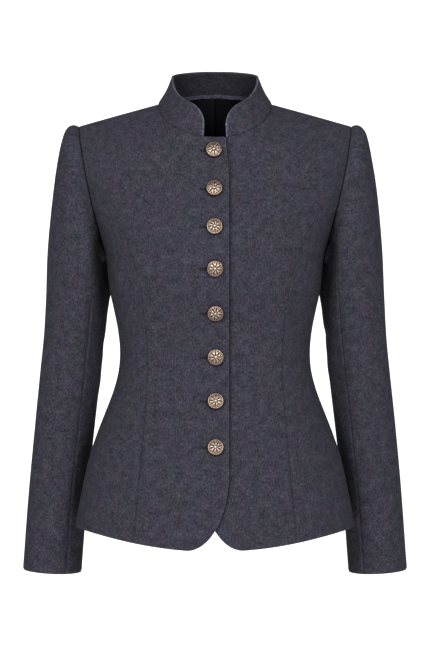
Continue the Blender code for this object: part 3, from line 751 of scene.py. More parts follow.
def body_piece(node, grid, edges, lined, materials, rests_on, side=1, **looks):
    """A panel of the torso, from its grid of (angle, height). Its looks are how far it is lifted,
    its shade, and the cloth map's direction across and offset."""
    lift, shade = looks.get("lift", 0.0), looks.get("shade", 0.0)
    across, offset = looks.get("across"), looks.get("offset", (0, 0))
    angle, height = grid[..., 0], grid[..., 1]
    normal = outward(angle, height)
    drape = body_drape(angle, height, side)
    plain = torso(angle, height) + np.asarray(lift)[..., None] * normal
    distances = edge_distances(plain)
    near = np.minimum.reduce([distances[name] for name in edges])
    skin = plain + (drape * step_up(near / DRAPE_FADE))[..., None] * normal
    outer, inner, tone = shaped_walls(skin, normal, CLOTH, edges, distances)
    tone = tone + shade
    uv = cloth_map(skin, normal, offset, across)
    if side < 0:
        outer, inner = to_right(outer), to_right(inner)
    cloth_piece(node, outer, inner, uv, tone, lined(distances), materials)


# Sleeves


# The sleeve's swell towards the body and the painted shade of its inner side: turns in degrees,
# starts and ends in table rings, depth and gap in millimetres
SWELL = {
    "turn": 208.0,
    "spread": 34.0,
    "start": 1.2,
    "rise": 1.6,
    "end": 6.4,
    "fall": 1.9,
    "depth": 6.5,
    "gap": 1.5,
}
LEAST_INWARD = 0.2  # of a direction that swells
HOLLOW = 3.4  # how far the under sleeve falls back beyond the front seam
UNDERARM_HOLLOW = 3.6  # and how much further beside the chest
INNERMOST_TURN = 192.0
INNER_SHADE = {
    "turn": 195.0,
    "spread": 42.0,
    "under_arm": -0.35,
    "below": -0.22,
}
TROUGH = (7.0, 1.3)  # width and depth of the upper sleeve's trough before its front seam
RIDGE_PAINTED_HIGHLIGHT = (2.4, 1.5, 0.55)  # place, half width and tone of the painted highlight on the ridge beyond that seam
HEAD_LEAN = 0.45  # of the cloth's upright direction towards the neck, at the head
HEAD_LEAN_RINGS = 3.0
CREASE_SHIFT = 0.35  # table rings by which the right sleeve's creases are lower
ARMHOLE_FADE = 20.0  # distance from the armhole over which the creases fade in
CUFF_FADE = 30.0
RING_SHARES = graded(196, 0.12, 0.3, first_run=40)
UPPER_TURNS = (BACK_SLEEVE_SEAM, FRONT_SLEEVE_SEAM)
UNDER_TURNS = (FRONT_SLEEVE_SEAM, 360 + BACK_SLEEVE_SEAM)


def sleeve_ellipse(turns, sizes):
    """Points round an ellipse between its outer and inner end, front positive."""
    cosine, sine = np.cos(np.radians(turns)), np.sin(np.radians(turns))
    x = (sizes["outer_x"] * (1 + cosine) + sizes["inner_x"] * (1 - cosine)) / 2
    z = (sizes["outer_z"] * (1 + cosine) + sizes["inner_z"] * (1 - cosine)) / 2
    return np.stack([x, sizes["centre"] - sizes["depth"] * sine, z], axis=-1)


def sleeve_tube(turns, rings):
    """The left sleeve: an ellipse for each ring, between its outer and inner end. The difference
    between the armhole and the first ellipse fades out over the head."""
    knots = np.arange(len(SLEEVE["depth"]), dtype=float)
    sizes = {name: smooth(rings, knots, column)[:, None] for name, column in SLEEVE.items()}
    first = {name: column[0] for name, column in SLEEVE.items()}
    folded = np.where(turns > 180, 360 - turns, np.abs(turns))
    behind = (turns < 0) | (turns > 180)
    arm_x, arm_height = armhole(folded)
    angle = np.where(behind, angle_at(arm_x, arm_height, True), angle_at(arm_x, arm_height))
    difference = torso(angle, arm_height) - sleeve_ellipse(turns, first)
    fade = (1 - step_up(rings / HEAD_RINGS))[:, None, None]
    return sleeve_ellipse(turns, sizes) + fade * difference


def grid_normals(points):
    """Unit normals of a grid: the cross product of its slopes along rows and columns."""
    normal = np.cross(np.gradient(points, axis=1), np.gradient(points, axis=0))
    return normal / np.linalg.norm(normal, axis=-1, keepdims=True)


def sleeve_normals(turns, rings):
    """Outward normals of the tube, read a little to each side so that they are whole at seams."""
    step = 0.5
    around = sleeve_tube(turns + step, rings) - sleeve_tube(turns - step, rings)
    low = np.clip(rings - 0.02, 0, None)
    high = np.clip(rings + 0.02, None, len(SLEEVE["depth"]) - 1)
    down = sleeve_tube(turns, high) - sleeve_tube(turns, low)
    normal = np.cross(around, down)
    return normal / np.linalg.norm(normal, axis=-1, keepdims=True)


def sleeve_drape(turns, rings, side):
    """Creases of a sleeve and slow waves. The right sleeve's creases are a little lower."""
    by_turn, by_ring = SLEEVE_MILLIMETRES
    shift = 0 if side > 0 else CREASE_SHIFT
    rows = zip(
        SLEEVE_CREASES["start_turn"] * by_turn,
        (SLEEVE_CREASES["start_ring"] + shift) * by_ring,
        SLEEVE_CREASES["end_turn"] * by_turn,
        (SLEEVE_CREASES["end_ring"] + shift) * by_ring,
        SLEEVE_CREASES["width"],
        SLEEVE_CREASES["depth"] * (1 + 0.15 * side),
    )
    across = turns[None] * by_turn + 0 * rings[:, None]
    down = rings[:, None] * by_ring + 0 * turns[None]
    wave = 0.35 * np.sin(across / 17 + down / 53 + side) * np.sin(down / 44 - across / 71)
    return crease_sum(rows, across, down, 360 * by_turn) + wave


def half_width_at(y, height):
    """How far out from the centre the torso reaches at these places."""
    cut = section(height)
    depth = np.where(y < cut["centre"], cut["front"], cut["back"])
    share = np.clip(np.abs(y - cut["centre"]) / depth, 0, 1)
    return cut["half_width"] * (1 - share ** cut["square"]) ** (1 / cut["square"])


def toward_body(plain, normal, turns, rings):
    """How far the inner side of the sleeve swells towards the body, behind its widest place: the
    arm's cloth rests there on the body's, with a small gap left between."""
    turn_share = np.exp(-(((turns - SWELL["turn"]) / SWELL["spread"]) ** 2))[None]
    opening = step_up((rings - SWELL["start"]) / SWELL["rise"])
    closing = 1 - step_up((rings - SWELL["end"]) / SWELL["fall"])
    wanted = SWELL["depth"] * turn_share * (opening * closing)[:, None]
    room = plain[..., 0] - half_width_at(plain[..., 1], plain[..., 2]) - SWELL["gap"]
    inward = np.clip(-normal[..., 0], LEAST_INWARD, 1)
    return np.clip(np.minimum(wanted, room / inward), 0, None)


def under_hollow(turns, rings):
    """The under sleeve's hollow beside the front seam: a half sine, skewed towards the seam, from
    there to the innermost line of the sleeve. It begins below the armhole."""
    reach = INNERMOST_TURN - FRONT_SLEEVE_SEAM
    share = np.clip((turns - FRONT_SLEEVE_SEAM) / reach, 0, 1)
    fade = step_up((rings - 2) / 2) * (1 - 0.6 * step_up((rings - 12) / 2))
    depth = HOLLOW + UNDERARM_HOLLOW * (1 - step_up((rings - 7) / 3))
    return -np.sin(math.pi * share**0.75)[None] * (depth * fade)[:, None]


def inner_shade(turns, rings):
    """Painted shade on the side of the sleeve that faces the body: darker round its innermost line,
    most so under the arm."""
    across = np.exp(-(((turns - INNER_SHADE["turn"]) / INNER_SHADE["spread"]) ** 2))
    opening = step_up((rings - 1) / 2)
    under = INNER_SHADE["under_arm"] * (1 - step_up((rings - 6.5) / 2.5))
    return across[None] * (opening * (INNER_SHADE["below"] + under))[:, None]


def seam_trough(turns, rings):
    """The upper sleeve's shallow trough before its front seam."""
    before = np.clip(FRONT_SLEEVE_SEAM - turns, 0, None) * SLEEVE_MILLIMETRES[0]
    fade = step_up((rings - 2) / 3) * (1 - 0.5 * step_up((rings - 11) / 3))
    return -TROUGH[1] * np.exp(-((before / TROUGH[0]) ** 2))[None] * fade[:, None]


def sleeve_map(points, normal, rings, offset):
    """Cloth coordinates of a sleeve: down its middle column, and from there round each ring. The
    upright direction leans towards the neck at the sleeve's head, which turns over the shoulder."""
    lean = HEAD_LEAN * (1 - step_up(rings / HEAD_LEAN_RINGS))
    guide = np.stack([-lean, 0 * lean, 1 + 0 * lean], axis=-1)[:, None]
    upright = in_surface(guide, normal)
    along_rows, along_columns = cloth_steps(points, np.cross(upright, normal), upright)
    middle = points.shape[1] // 2
    around = along_rows - along_rows[:, middle : middle + 1]
    return around + along_columns[:, middle : middle + 1] + np.asarray(offset)


def sleeve_pieces(side_name, materials):
    """The upper and the under sleeve of one arm, cut from the same tube."""
    side = 1 if side_name == "left" else -1
    rings = RING_SHARES * (len(SLEEVE["depth"]) - 1)
    for part, span, count, offset in (
        ("sleeve_upper", UPPER_TURNS, 84, 900),
        ("sleeve_under", UNDER_TURNS, 54, 1300),
    ):
        turns = span[0] + (span[1] - span[0]) * graded(count, 0.25, 0.25)
        plain = sleeve_tube(turns, rings)
        normal = sleeve_normals(turns, rings)
        distances = edge_distances(plain)
        near = np.minimum(distances["bottom"] / ARMHOLE_FADE, distances["top"] / CUFF_FADE)
        drape = sleeve_drape(turns, rings, side) * step_up(near)
        if part == "sleeve_under":
            form = under_hollow(turns, rings) + toward_body(plain, normal, turns, rings)
        else:
            form = seam_trough(turns, rings)
        skin = plain + (drape + form)[..., None] * normal
        edges = {
            "left": ("seam", SLEEVE_SEAM),
            "right": ("seam", SLEEVE_SEAM),
            "bottom": ("seam", ARMHOLE_SEAM),
            "top": ("fold", 1.0),
        }
        outer, inner, tone = shaped_walls(skin, normal, CLOTH, edges, distances)
        if part == "sleeve_under":
            # Painted highlight along the ridge beyond the front seam.
            place, width, light = RIDGE_PAINTED_HIGHLIGHT
            fade = step_up((rings - 3) / 2)[:, None]
            tone = tone + light * fade * np.exp(-(((distances["left"] - place) / width) ** 2))
            tone = tone + inner_shade(turns, rings)
        uv = sleeve_map(skin, normal, rings, (offset, 300 * side))
        if side < 0:
            outer, inner = to_right(outer), to_right(inner)
        lined = distances["top"] > TURN_UP
        cloth_piece(f"{part}_{side_name}", outer, inner, uv, tone, lined, materials)


# Collar

COLLAR_FRONT = graded(64, 0.35, 1.0, first_run=14)
COLLAR_BACK = graded(48, 1.0, 1.0)
COLLAR_SHARES = graded(26, 0.3, 0.18)
RIM_PAINTED_HIGHLIGHT = (0.8, 1.3, 1.6)  # place, half width and tone of the painted highlight at its edge
FOOT_BLEND = 0.4  # share of the height over which the foot's own line fades
FOOT_TURN = 0.25  # and over which the wall turns from the foot's direction to its own
END_REACH = 4.0  # corner radii along the band over which its rounding fades
STEEPEST = 0.999  # share of the corner's radius up to which it is drawn
TAPE_SPAN = 0.96  # share of the way to the neck points
TAPE_DEPTH = 4.3  # of its face behind the back's outer skin
TAPE_HALF = 2.7  # half width
TAPE_RISE = 0.4  # of its middle above the seam
TAPE_CROWN = 0.5  # how much further its middle stands out
TAPE_WALL = 0.7


def skin_of(line, behind, lift=0.0):
    """Points and outward directions of the torso's surface on a line of x and height."""
    place = on_torso(line, behind)
    normal = outward(place[:, 0], place[:, 1])
    return torso(place[:, 0], place[:, 1]) + np.asarray(lift)[..., None] * normal, normal


def collar_base(side, front_share, back_share):
    """Base points of one half of the collar, from its end round to the centre back, the outward
    direction of the cloth that they stand on and the turn of each in degrees. The shares run from
    the end to the neck point, and from there to the back."""
    first = math.asin(COLLAR_END / NECK_HALF)
    front_turns = first + (QUARTER - first) * front_share
    lift = lift_of(NECK_HALF * np.sin(front_turns)) if side < 0 else 0 * front_turns
    points, normal = skin_of(neck_points(front_turns, False), False, lift)
    back_turns = QUARTER * (1 - back_share)[1:]
    back_points, back_normal = skin_of(neck_points(back_turns, True), True)
    degrees = np.degrees(np.concatenate([front_turns, math.pi - back_turns]))
    return np.concatenate([points, back_points]), np.concatenate([normal, back_normal]), degrees


def plain_band(base, turn):
    """One half of the collar above base points: base + share (rise + inward), with a small hollow
    in its lean."""
    height = smooth(turn, COLLAR["turn"], COLLAR["height"])
    lean = np.radians(smooth(turn, COLLAR["turn"], COLLAR["lean"]))
    out = np.stack([np.sin(np.radians(turn)), -np.cos(np.radians(turn)), 0 * turn], axis=-1)
    rise = (height * np.cos(lean))[:, None] * np.array([0, 0, 1])
    inward = -(height * np.sin(lean))[:, None] * out
    share = COLLAR_SHARES[:, None, None]
    return base + share * rise + (share + COLLAR_HOLLOW * share * (1 - share)) * inward


def half_collar(side):
    """One half of the collar: a smooth curve round through a few upright lines, blended at its
    foot into the exact neck line. Also the foot's outward directions."""
    base, foot, turn = collar_base(side, COLLAR_FRONT, COLLAR_BACK)
    few_base, _, few_turns = collar_base(side, np.linspace(0, 1, 10), np.linspace(0, 1, 6))
    few = plain_band(few_base, few_turns)
    band = np.empty((len(few), len(turn), 3))
    for row in range(len(few)):
        for axis in range(3):
            band[row, :, axis] = smooth(turn, few_turns, few[row, :, axis])
    blend = 1 - step_up(COLLAR_SHARES / FOOT_BLEND)[:, None, None]
    return band + blend * (base - band[0]), foot


def round_ends(band, length, height):
    """Moves the points near both ends back along the band, so that each end is a quarter round."""
    rounded = band.copy()
    total = length[-1]
    for row, share in enumerate(COLLAR_SHARES):
        up = share * height[0]
        above = max(0.0, up - (height[0] - COLLAR_CORNER)) / COLLAR_CORNER
        cut = COLLAR_CORNER * (1 - math.sqrt(1 - min(above, STEEPEST) ** 2))
        fade = np.clip(1 - length / (END_REACH * COLLAR_CORNER), 0, 1) ** 2
        place = np.clip(length + cut * fade - cut * fade[::-1], 0, total)
        for axis in range(3):
            rounded[row, :, axis] = np.interp(place, length, band[row, :, axis])
    return rounded


def collar_band():
    """The whole collar's outer points, and the directions in which its wall is thick."""
    left, left_foot = half_collar(1)
    right, right_foot = (to_right(part) for part in half_collar(-1))
    band = np.concatenate([left, right[:, -2::-1]], axis=1)
    foot = np.concatenate([left_foot, right_foot[-2::-1]])
    band = round_ends(band, run_along(band[0]), COLLAR["height"])
    normal = grid_normals(band)
    blend = step_up(COLLAR_SHARES / FOOT_TURN)[:, None, None]
    normal = normal * blend + foot * (1 - blend)
    return band, normal / np.linalg.norm(normal, axis=-1, keepdims=True)


def collar_piece(materials):
    """The stand collar, with its rolled top edge and rounded ends."""
    band, normal = collar_band()
    distances = edge_distances(band)
    across = distances["left"]
    wave = 0.3 * np.sin(across / 14 + 0.7) * np.sin(distances["bottom"] / 15)
    skin = band + (wave * step_up(distances["top"] / 10))[..., None] * normal
    edges = {
        "left": ("fold", 1.0),
        "right": ("fold", 1.0),
        "top": ("fold", 1.0),
        "bottom": ("seam", COLLAR_SEAM),
    }
    outer, inner, tone = shaped_walls(skin, normal, COLLAR_WALL, edges, distances)
    edge = np.minimum.reduce([distances[name] for name in ("left", "right", "top")])
    # Painted highlight along the collar's folded edge.
    place, width, light = RIM_PAINTED_HIGHLIGHT
    tone = tone + light * np.exp(-(((edge - place) / width) ** 2))
    uv = cloth_map(skin, normal, (1700, 0))
    lined = np.ones(band.shape[:2], bool)
    cloth_piece(
        "collar", outer, inner, uv, tone, lined, materials
    )


def neck_tape(material):
    """A narrow tape over the neck seam inside the back: a band whose ends run out at the neck
    points, slightly crowned."""
    turn = np.linspace(-QUARTER, QUARTER, 121) * TAPE_SPAN
    points, normal = skin_of(neck_points(np.abs(turn), True), True)
    points[:, 0] *= np.sign(turn)
    normal[:, 0] *= np.sign(turn)
    share = np.linspace(-1, 1, 9)[:, None, None]
    crown = TAPE_CROWN * (1 - share**2)
    wave = 0.35 * np.sin(turn * 17)[None, :, None]
    up = (TAPE_HALF * share + wave + TAPE_RISE) * np.array([0, 0, 1])
    face = points - (TAPE_DEPTH + crown) * normal + up
    back = face + TAPE_WALL * normal
    outside, inside, band = grid_faces(*face.shape[:2])
    places = np.concatenate([face.reshape(-1, 3), back.reshape(-1, 3)])
    level = np.broadcast_to(normal, face.shape)
    uv = np.concatenate([cloth_map(face, level, (2100, 0)).reshape(-1, 2)] * 2)
    tone = np.zeros(len(places))
    faces = np.concatenate([outside, inside, band])
    tape = add_piece("neck_tape", places, faces, [material], uv, tone)
    return tape


# Lining inside the neck

LINING_FOOT = -250.0  # height of the lining's lower edge
LINING_FOOT_HALF = 118.0
LINING_TOP = (0.93, 2.5)  # share of the way to the neck points, and drop below the neck line
PLEAT_DEPTH = 2.5
PLEAT_RISE = (-16.0, 12.0)  # where the pleat starts across the back, and over how much it rises
PLEAT_FALL = (-1.0, 3.0)
# Painted light and shade on the lining: lighter on the wearer's right of the pleat, darker on its
# left
PLEAT_PAINTED_LIGHT_AND_SHADE = 1.3


def lining_piece(material):
    """The upper middle of the back, one gap further in, with a pleat down its centre, which rises
    slowly on the wearer's right and drops back at once."""
    across = np.linspace(-1, 1, 141)
    down = graded(110, 1.0, 0.02, last_run=30)
    span, drop = LINING_TOP
    top = neck_points(np.abs(across) * QUARTER * span, True)
    share = down[:, None]
    height = LINING_FOOT + (top[:, 1] - drop - LINING_FOOT) * share
    half = np.abs(top[:, 0]) * share + LINING_FOOT_HALF * np.abs(across) * (1 - share)
    x = np.sign(across) * half
    angle = angle_at(x, height, True)
    normal = outward(angle, height)
    rise = step_up((x - PLEAT_RISE[0]) / PLEAT_RISE[1])
    pleat = PLEAT_DEPTH * rise * (1 - step_up((x - PLEAT_FALL[0]) / PLEAT_FALL[1]))
    folds = 0.5 * np.sin(x / 6.1 + height / 40) * np.sin(height / 33 + x / 19)
    depth = CLOTH + LINING_GAP + pleat + np.abs(folds)
    face = torso(angle, height) - depth[..., None] * normal
    inner = face - LINING_WALL * normal
    uv = cloth_map(face, normal, (0, 2500), (-1, 0, 0))
    # Painted light and shade: the wearer's right half of the lining lighter, its left half darker.
    tone = PLEAT_PAINTED_LIGHT_AND_SHADE * (step_up(-x / 2) - 0.5)
    lined = np.ones(x.shape, bool)
    materials, rests_on = [material, material], ["back_cloth"]
    cloth_piece("back_lining", face, inner, uv, tone, lined, materials)


# Buttons and buttonholes

BUTTONS = 8
BUTTON_RADIUS = 11.0
PETALS = 8
LEAVES = 16
BUTTONHOLE = (22.5, 1.8)  # length and half width of the worked hole
HOLE_DROP = 1.0  # how far below the button's middle it lies
SLIT = 0.85  # half width of the open slit
HOLE_END = 3.5  # how far the stitches reach past the button's middle
STITCH_STEP = 0.62
STITCH_RADIUS = 0.27
STITCH_RISE = 0.45
DOME = (4.2, 0.93)  # height of the dome, and its radius as a share of a full round's
BUTTON_RIM = 3.1  # height of the face's rim above the shank's foot
BACK_RADII = (BUTTON_RADIUS - 0.1, BUTTON_RADIUS - 0.6, 7.0, 2.6, 2.4, 2.4)
BACK_RISES = (2.9, 2.7, 2.5, 2.4, 1.6, -0.8)
WORN_RIM = 2.9  # height from which the wear of the face is counted
RIM_PATINA_AND_SHADE = (0.55, 0.965, 0.035)  # what is taken off at the rim, partly patina and partly painted shade, from which share, over how much


def dome_rise(share):
    height, part = DOME
    return height * np.sqrt(np.clip(1 - (share * part) ** 2, 0, 1))


def relief(radius, turn):
    """Height of the button's face: a low dome, a rope rim, a ring of petals and a bead within a
    ring of dots. Petals are |cos|^p lobes that fade towards both ends."""
    share = radius / BUTTON_RADIUS
    petal_span = np.sin(math.pi * np.clip((share - 0.15) / 0.55, 0, 1))
    petals = 0.75 * petal_span * np.abs(np.cos(PETALS / 2 * turn)) ** 1.6
    vein = -0.3 * petal_span * np.exp(-((np.sin(PETALS / 2 * turn) / 0.12) ** 2))
    vein = vein - 0.22 * petal_span * np.exp(-((np.sin(PETALS / 2 * turn + QUARTER) / 0.10) ** 2))
    leaf_span = np.exp(-(((share - 0.72) / 0.07) ** 2))
    leaves = 0.5 * leaf_span * np.abs(np.sin(LEAVES / 2 * turn)) ** 1.2
    bead = 0.8 * np.sqrt(np.clip(1 - (share / 0.17) ** 2, 0, 1))
    twist = 0.5 + 0.5 * np.sin(34 * turn + 9 * share)
    rope = 0.62 * np.exp(-(((share - 0.885) / 0.055) ** 2)) * (0.65 + 0.35 * twist)
    return dome_rise(share) + petals + vein + leaves + bead + rope


def button_piece(number, material):
    """A turned button whose face carries the relief: rings of points round its axis from the
    middle of the face over the rim and under the back to the foot of the shank."""
    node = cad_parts[f"button_{number}"]
    places = np.zeros(len(node.data.vertices) * 3)
    node.data.vertices.foreach_get("co", places)
    places = places.reshape(-1, 3) / MM
    height = float(places[:, 2].mean())
    axis = outward(np.zeros(1), np.array([height]))[0]
    rise = places @ axis
    foot = places.mean(axis=0) + (rise.min() - places.mean(axis=0) @ axis) * axis
    turn = np.linspace(0, 2 * math.pi, 97)[:-1]
    face_radius = BUTTON_RADIUS * graded(34, 0.6, 0.5)[1:]
    face_rise = BUTTON_RIM + relief(face_radius[:, None], turn[None])
    back_rise = np.array(BACK_RISES)[:, None] + 0 * turn[None]
    radius = np.concatenate([face_radius, BACK_RADII])[:, None]
    rise = np.concatenate([face_rise, back_rise])
    side = np.cross(axis, [0, 0, 1.0])
    side /= np.linalg.norm(side)
    up = np.cross(side, axis)
    spin = 0.35 * math.sin(number * 2.4)
    circle = np.cos(turn + spin)[:, None] * side + np.sin(turn + spin)[:, None] * up
    rings = foot + radius[..., None] * circle[None] + rise[..., None] * axis
    middle = foot + (BUTTON_RIM + relief(np.zeros(1), np.zeros(1))[0]) * axis
    points = np.concatenate([rings.reshape(-1, 3), [middle], [foot + BACK_RISES[-1] * axis]])
    count = len(turn)
    ring = np.arange(len(radius) * count).reshape(-1, count)
    after = np.roll(ring, -1, axis=1)
    quads = np.stack([ring[:-1], after[:-1], after[1:], ring[1:]], axis=-1).reshape(-1, 4)
    hub = np.full(count, len(points) - 2)
    cap = np.full(count, len(points) - 1)
    top = np.stack([hub, after[0], ring[0]], axis=-1)
    bottom = np.stack([cap, ring[-1], after[-1]], axis=-1)
    mesh = bpy.data.meshes.new(f"button_{number}_metal")
    faces = quads[:, ::-1].tolist() + top[:, ::-1].tolist() + bottom[:, ::-1].tolist()
    mesh.from_pydata((points * MM).tolist(), [], faces)
    share = radius / BUTTON_RADIUS
    dome = WORN_RIM + dome_rise(share)
    # The outer rim is darkened: patina, and painted shade of the shadow round the button.
    step, start, run = RIM_PATINA_AND_SHADE
    edge = step * step_up((share - start) / run)
    worn_and_rim_shaded = np.concatenate([(rise - dome - edge).ravel(), [0.8, 0]])
    attribute = mesh.attributes.new("relief", "FLOAT", "POINT")
    attribute.data.foreach_set("value", worn_and_rim_shaded.astype(np.float32))
    mesh.materials.append(material)
    mesh.shade_smooth()
    piece = bpy.data.objects.new(f"button_{number}_metal", mesh)
    bpy.context.scene.collection.objects.link(piece)
    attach(piece, BODY)
    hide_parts(f"button_{number}")
    return foot


def front_skin(x, height):
    """Points of the creased front that lies on top, x to the wearer's left of the centre, and
    outward directions."""
    angle = angle_at(-x, height)
    normal = outward(angle, height)
    near = np.minimum(OVERLAP - x, -NECK_DROP - height)
    drape = body_drape(angle, height, -1) * step_up(near / DRAPE_FADE)
    rise = lift_of(-x) + drape
    return to_right(torso(angle, height) + rise[..., None] * normal), to_right(normal)


def buttonhole_piece(places, thread):
    """All the worked buttonholes' stitches as one mesh: two rows of stitches, each a short bent
    tube across the edge of the slit, with a fan of stitches round the eye end."""
    length, half = BUTTONHOLE
    eye = HOLE_END - length
    rows = []
    for x in np.arange(eye, HOLE_END, STITCH_STEP):
        other = x + STITCH_STEP / 2
        rows.append((x, SLIT, x + 0.12, half))
        rows.append((other, -SLIT, other - 0.1, -half))
    for turn in np.linspace(QUARTER, 3 * QUARTER, 9):
        cosine, sine = math.cos(turn), math.sin(turn)
        rows.append((eye + 0.4 * cosine, 0.4 * sine, eye + 1.9 * cosine, 1.6 * sine))
    rows = np.array(rows)
    share = np.linspace(0, 1, 7)
    turn = np.linspace(0, 2 * math.pi, 7)[:-1]
    points, faces = [], []
    for foot in places:
        x = rows[:, :1] + (rows[:, 2:3] - rows[:, :1]) * share
        z = rows[:, 1:2] + (rows[:, 3:4] - rows[:, 1:2]) * share + foot[2] - HOLE_DROP
        skin, normal = front_skin(x, z)
        arch = STITCH_RISE * np.sin(math.pi * share) ** 0.7 + 0.05
        centre = skin + arch[None, :, None] * normal
        tangent = np.gradient(centre, axis=1)
        tangent /= np.linalg.norm(tangent, axis=-1, keepdims=True)
        across = np.cross(tangent, normal)
        circle = np.cos(turn)[:, None] * across[:, :, None]
        circle = circle + np.sin(turn)[:, None] * normal[:, :, None]
        thick = STITCH_RADIUS * (0.55 + 0.45 * np.sin(math.pi * share))[None, :, None, None]
        tube = centre[:, :, None] + thick * circle
        start = sum(len(p) for p in points)
        index = start + np.arange(tube[..., 0].size).reshape(tube.shape[:3])
        after = np.roll(index, -1, axis=2)
        quads = np.stack([index[:, :-1], after[:, :-1], after[:, 1:], index[:, 1:]], axis=-1)
        points.append(tube.reshape(-1, 3))
        faces.append(quads.reshape(-1, 4))
    points, faces = np.concatenate(points), np.concatenate(faces)
    piece = add_piece("buttonhole_stitches", points, faces, [thread])


def slit_shadow_piece(places, dark):
    """Painted shade in the open slits of the buttonholes: flat dark lenses just above the cloth."""
    length, _ = BUTTONHOLE
    points, faces = [], []
    for number, foot in enumerate(places):
        share = np.linspace(0, 1, 15)
        x = -length + 3.0 + (length - 1.0) * share
        half = SLIT * (0.55 + 0.75 * share) * np.sin(math.pi * np.clip(share, 0.03, 0.97)) ** 0.3
        rows = []
        for level, rise in ((-1, 0.06), (0, 0.16), (1, 0.06)):
            skin, normal = front_skin(x, foot[2] - HOLE_DROP + level * half)
            rows.append(skin + rise * normal)
        skin, normal = front_skin(x, foot[2] - HOLE_DROP + 0 * x)
        rows.append(skin - 0.2 * normal)
        band = np.array(rows)
        start = number * band[..., 0].size
        index = start + np.arange(band[..., 0].size).reshape(4, -1)
        after = np.roll(index, -1, axis=0)
        quads = np.stack([index[:, :-1], index[:, 1:], after[:, 1:], after[:, :-1]], axis=-1)
        ends = np.array([index[::-1, 0], index[:, -1]])
        points.append(band.reshape(-1, 3))
        faces.append(np.concatenate([quads.reshape(-1, 4), ends]))
    piece = add_piece("buttonhole_slit_shadows", np.concatenate(points), np.concatenate(faces), [dark])


# Materials


class Value:
    """A number in a material. Python's operators on it add Math nodes."""

    def __init__(self, shading, socket):
        self.shading = shading
        self.socket = socket

    def math(self, operation, *others):
        sockets = dict(enumerate(others))
        return self.shading.add("ShaderNodeMath", {"operation": operation}, sockets)

    def __add__(self, other):
        return self.math("ADD", self, other)

    def __radd__(self, other):
        return self.math("ADD", other, self)

    def __sub__(self, other):
        return self.math("SUBTRACT", self, other)

    def __rsub__(self, other):
        return self.math("SUBTRACT", other, self)

    def __mul__(self, other):
        return self.math("MULTIPLY", self, other)

    def __rmul__(self, other):
        return self.math("MULTIPLY", other, self)

    def clipped(self):
        return self.shading.add("ShaderNodeClamp", {}, {"Value": self})

    def maximum(self, other):
        return self.math("MAXIMUM", self, other)


class Shading:
    """The node tree of one material, built from its shader outwards."""

    def __init__(self, name):
        self.material = bpy.data.materials.new(name)
        self.material.use_nodes = True
        self.tree = self.material.node_tree
        self.tree.nodes.clear()

    def add(self, kind, settings=None, sockets=None, output=0):
        """A node of this type: its settings are set first, a ramp's stops among them, then the
        values or links of its sockets. The result wraps one of its outputs."""
        node = self.tree.nodes.new(kind)
        for name, value in (settings or {}).items():
            if name == "stops":
                self.set_stops(node.color_ramp, value)
            else:
                setattr(node, name, value)
        for name, value in (sockets or {}).items():
            if isinstance(value, Value):
                self.tree.links.new(value.socket, node.inputs[name])
            else:
                node.inputs[name].default_value = value
        return Value(self, node.outputs[output]) if len(node.outputs) else None

    @staticmethod
    def set_stops(ramp, stops):
        while len(ramp.elements) < len(stops):
            ramp.elements.new(0.5)
        for element, (position, colour) in zip(ramp.elements, stops):
            element.position = position
            element.color = (*colour, 1)

    def cloth(self, scale=(1, 1), turn=0.0):
        """The cloth map, stretched and turned."""
        where = self.add("ShaderNodeUVMap", {"uv_map": "cloth"})
        sockets = {"Vector": where, "Rotation": (0, 0, turn), "Scale": (*scale, 1)}
        return self.add("ShaderNodeMapping", {}, sockets)

    def noise(self, where, scale, detail=2.0, roughness=0.5):
        sockets = {"Vector": where, "Scale": scale, "Detail": detail, "Roughness": roughness}
        return self.add("ShaderNodeTexNoise", {}, sockets)

    def attribute(self, name):
        return self.add("ShaderNodeAttribute", {"attribute_name": name}, output=2)

    def ramp(self, factor, *stops):
        return self.add("ShaderNodeValToRGB", {"stops": stops}, {"Fac": factor})

    def scaled(self, colour, level):
        return self.add("ShaderNodeVectorMath", {"operation": "SCALE"}, {0: colour, "Scale": level})

    def mixed(self, factor, first, second, blend="MIX"):
        settings = {"data_type": "RGBA", "blend_type": blend}
        return self.add("ShaderNodeMix", settings, {0: factor, 6: first, 7: second}, output=2)

    def bump(self, height, distance, strength=1.0, under=None):
        sockets = {"Height": height, "Distance": distance, "Strength": strength}
        if under is not None:
            sockets["Normal"] = under
        return self.add("ShaderNodeBump", {}, sockets)

    def finish(self, **sockets):
        """The surface's shader, with its named sockets, and the material that it makes."""
        named = {name.replace("_", " "): value for name, value in sockets.items()}
        shader = self.add("ShaderNodeBsdfPrincipled", {}, named)
        self.add("ShaderNodeOutputMaterial", {}, {"Surface": shader})
        return self.material


DARK_FIBRE = (0.0085, 0.0080, 0.0125)
MIDDLE_FIBRE = (0.0280, 0.0265, 0.0385)
LIGHT_FIBRE = (0.080, 0.077, 0.101)


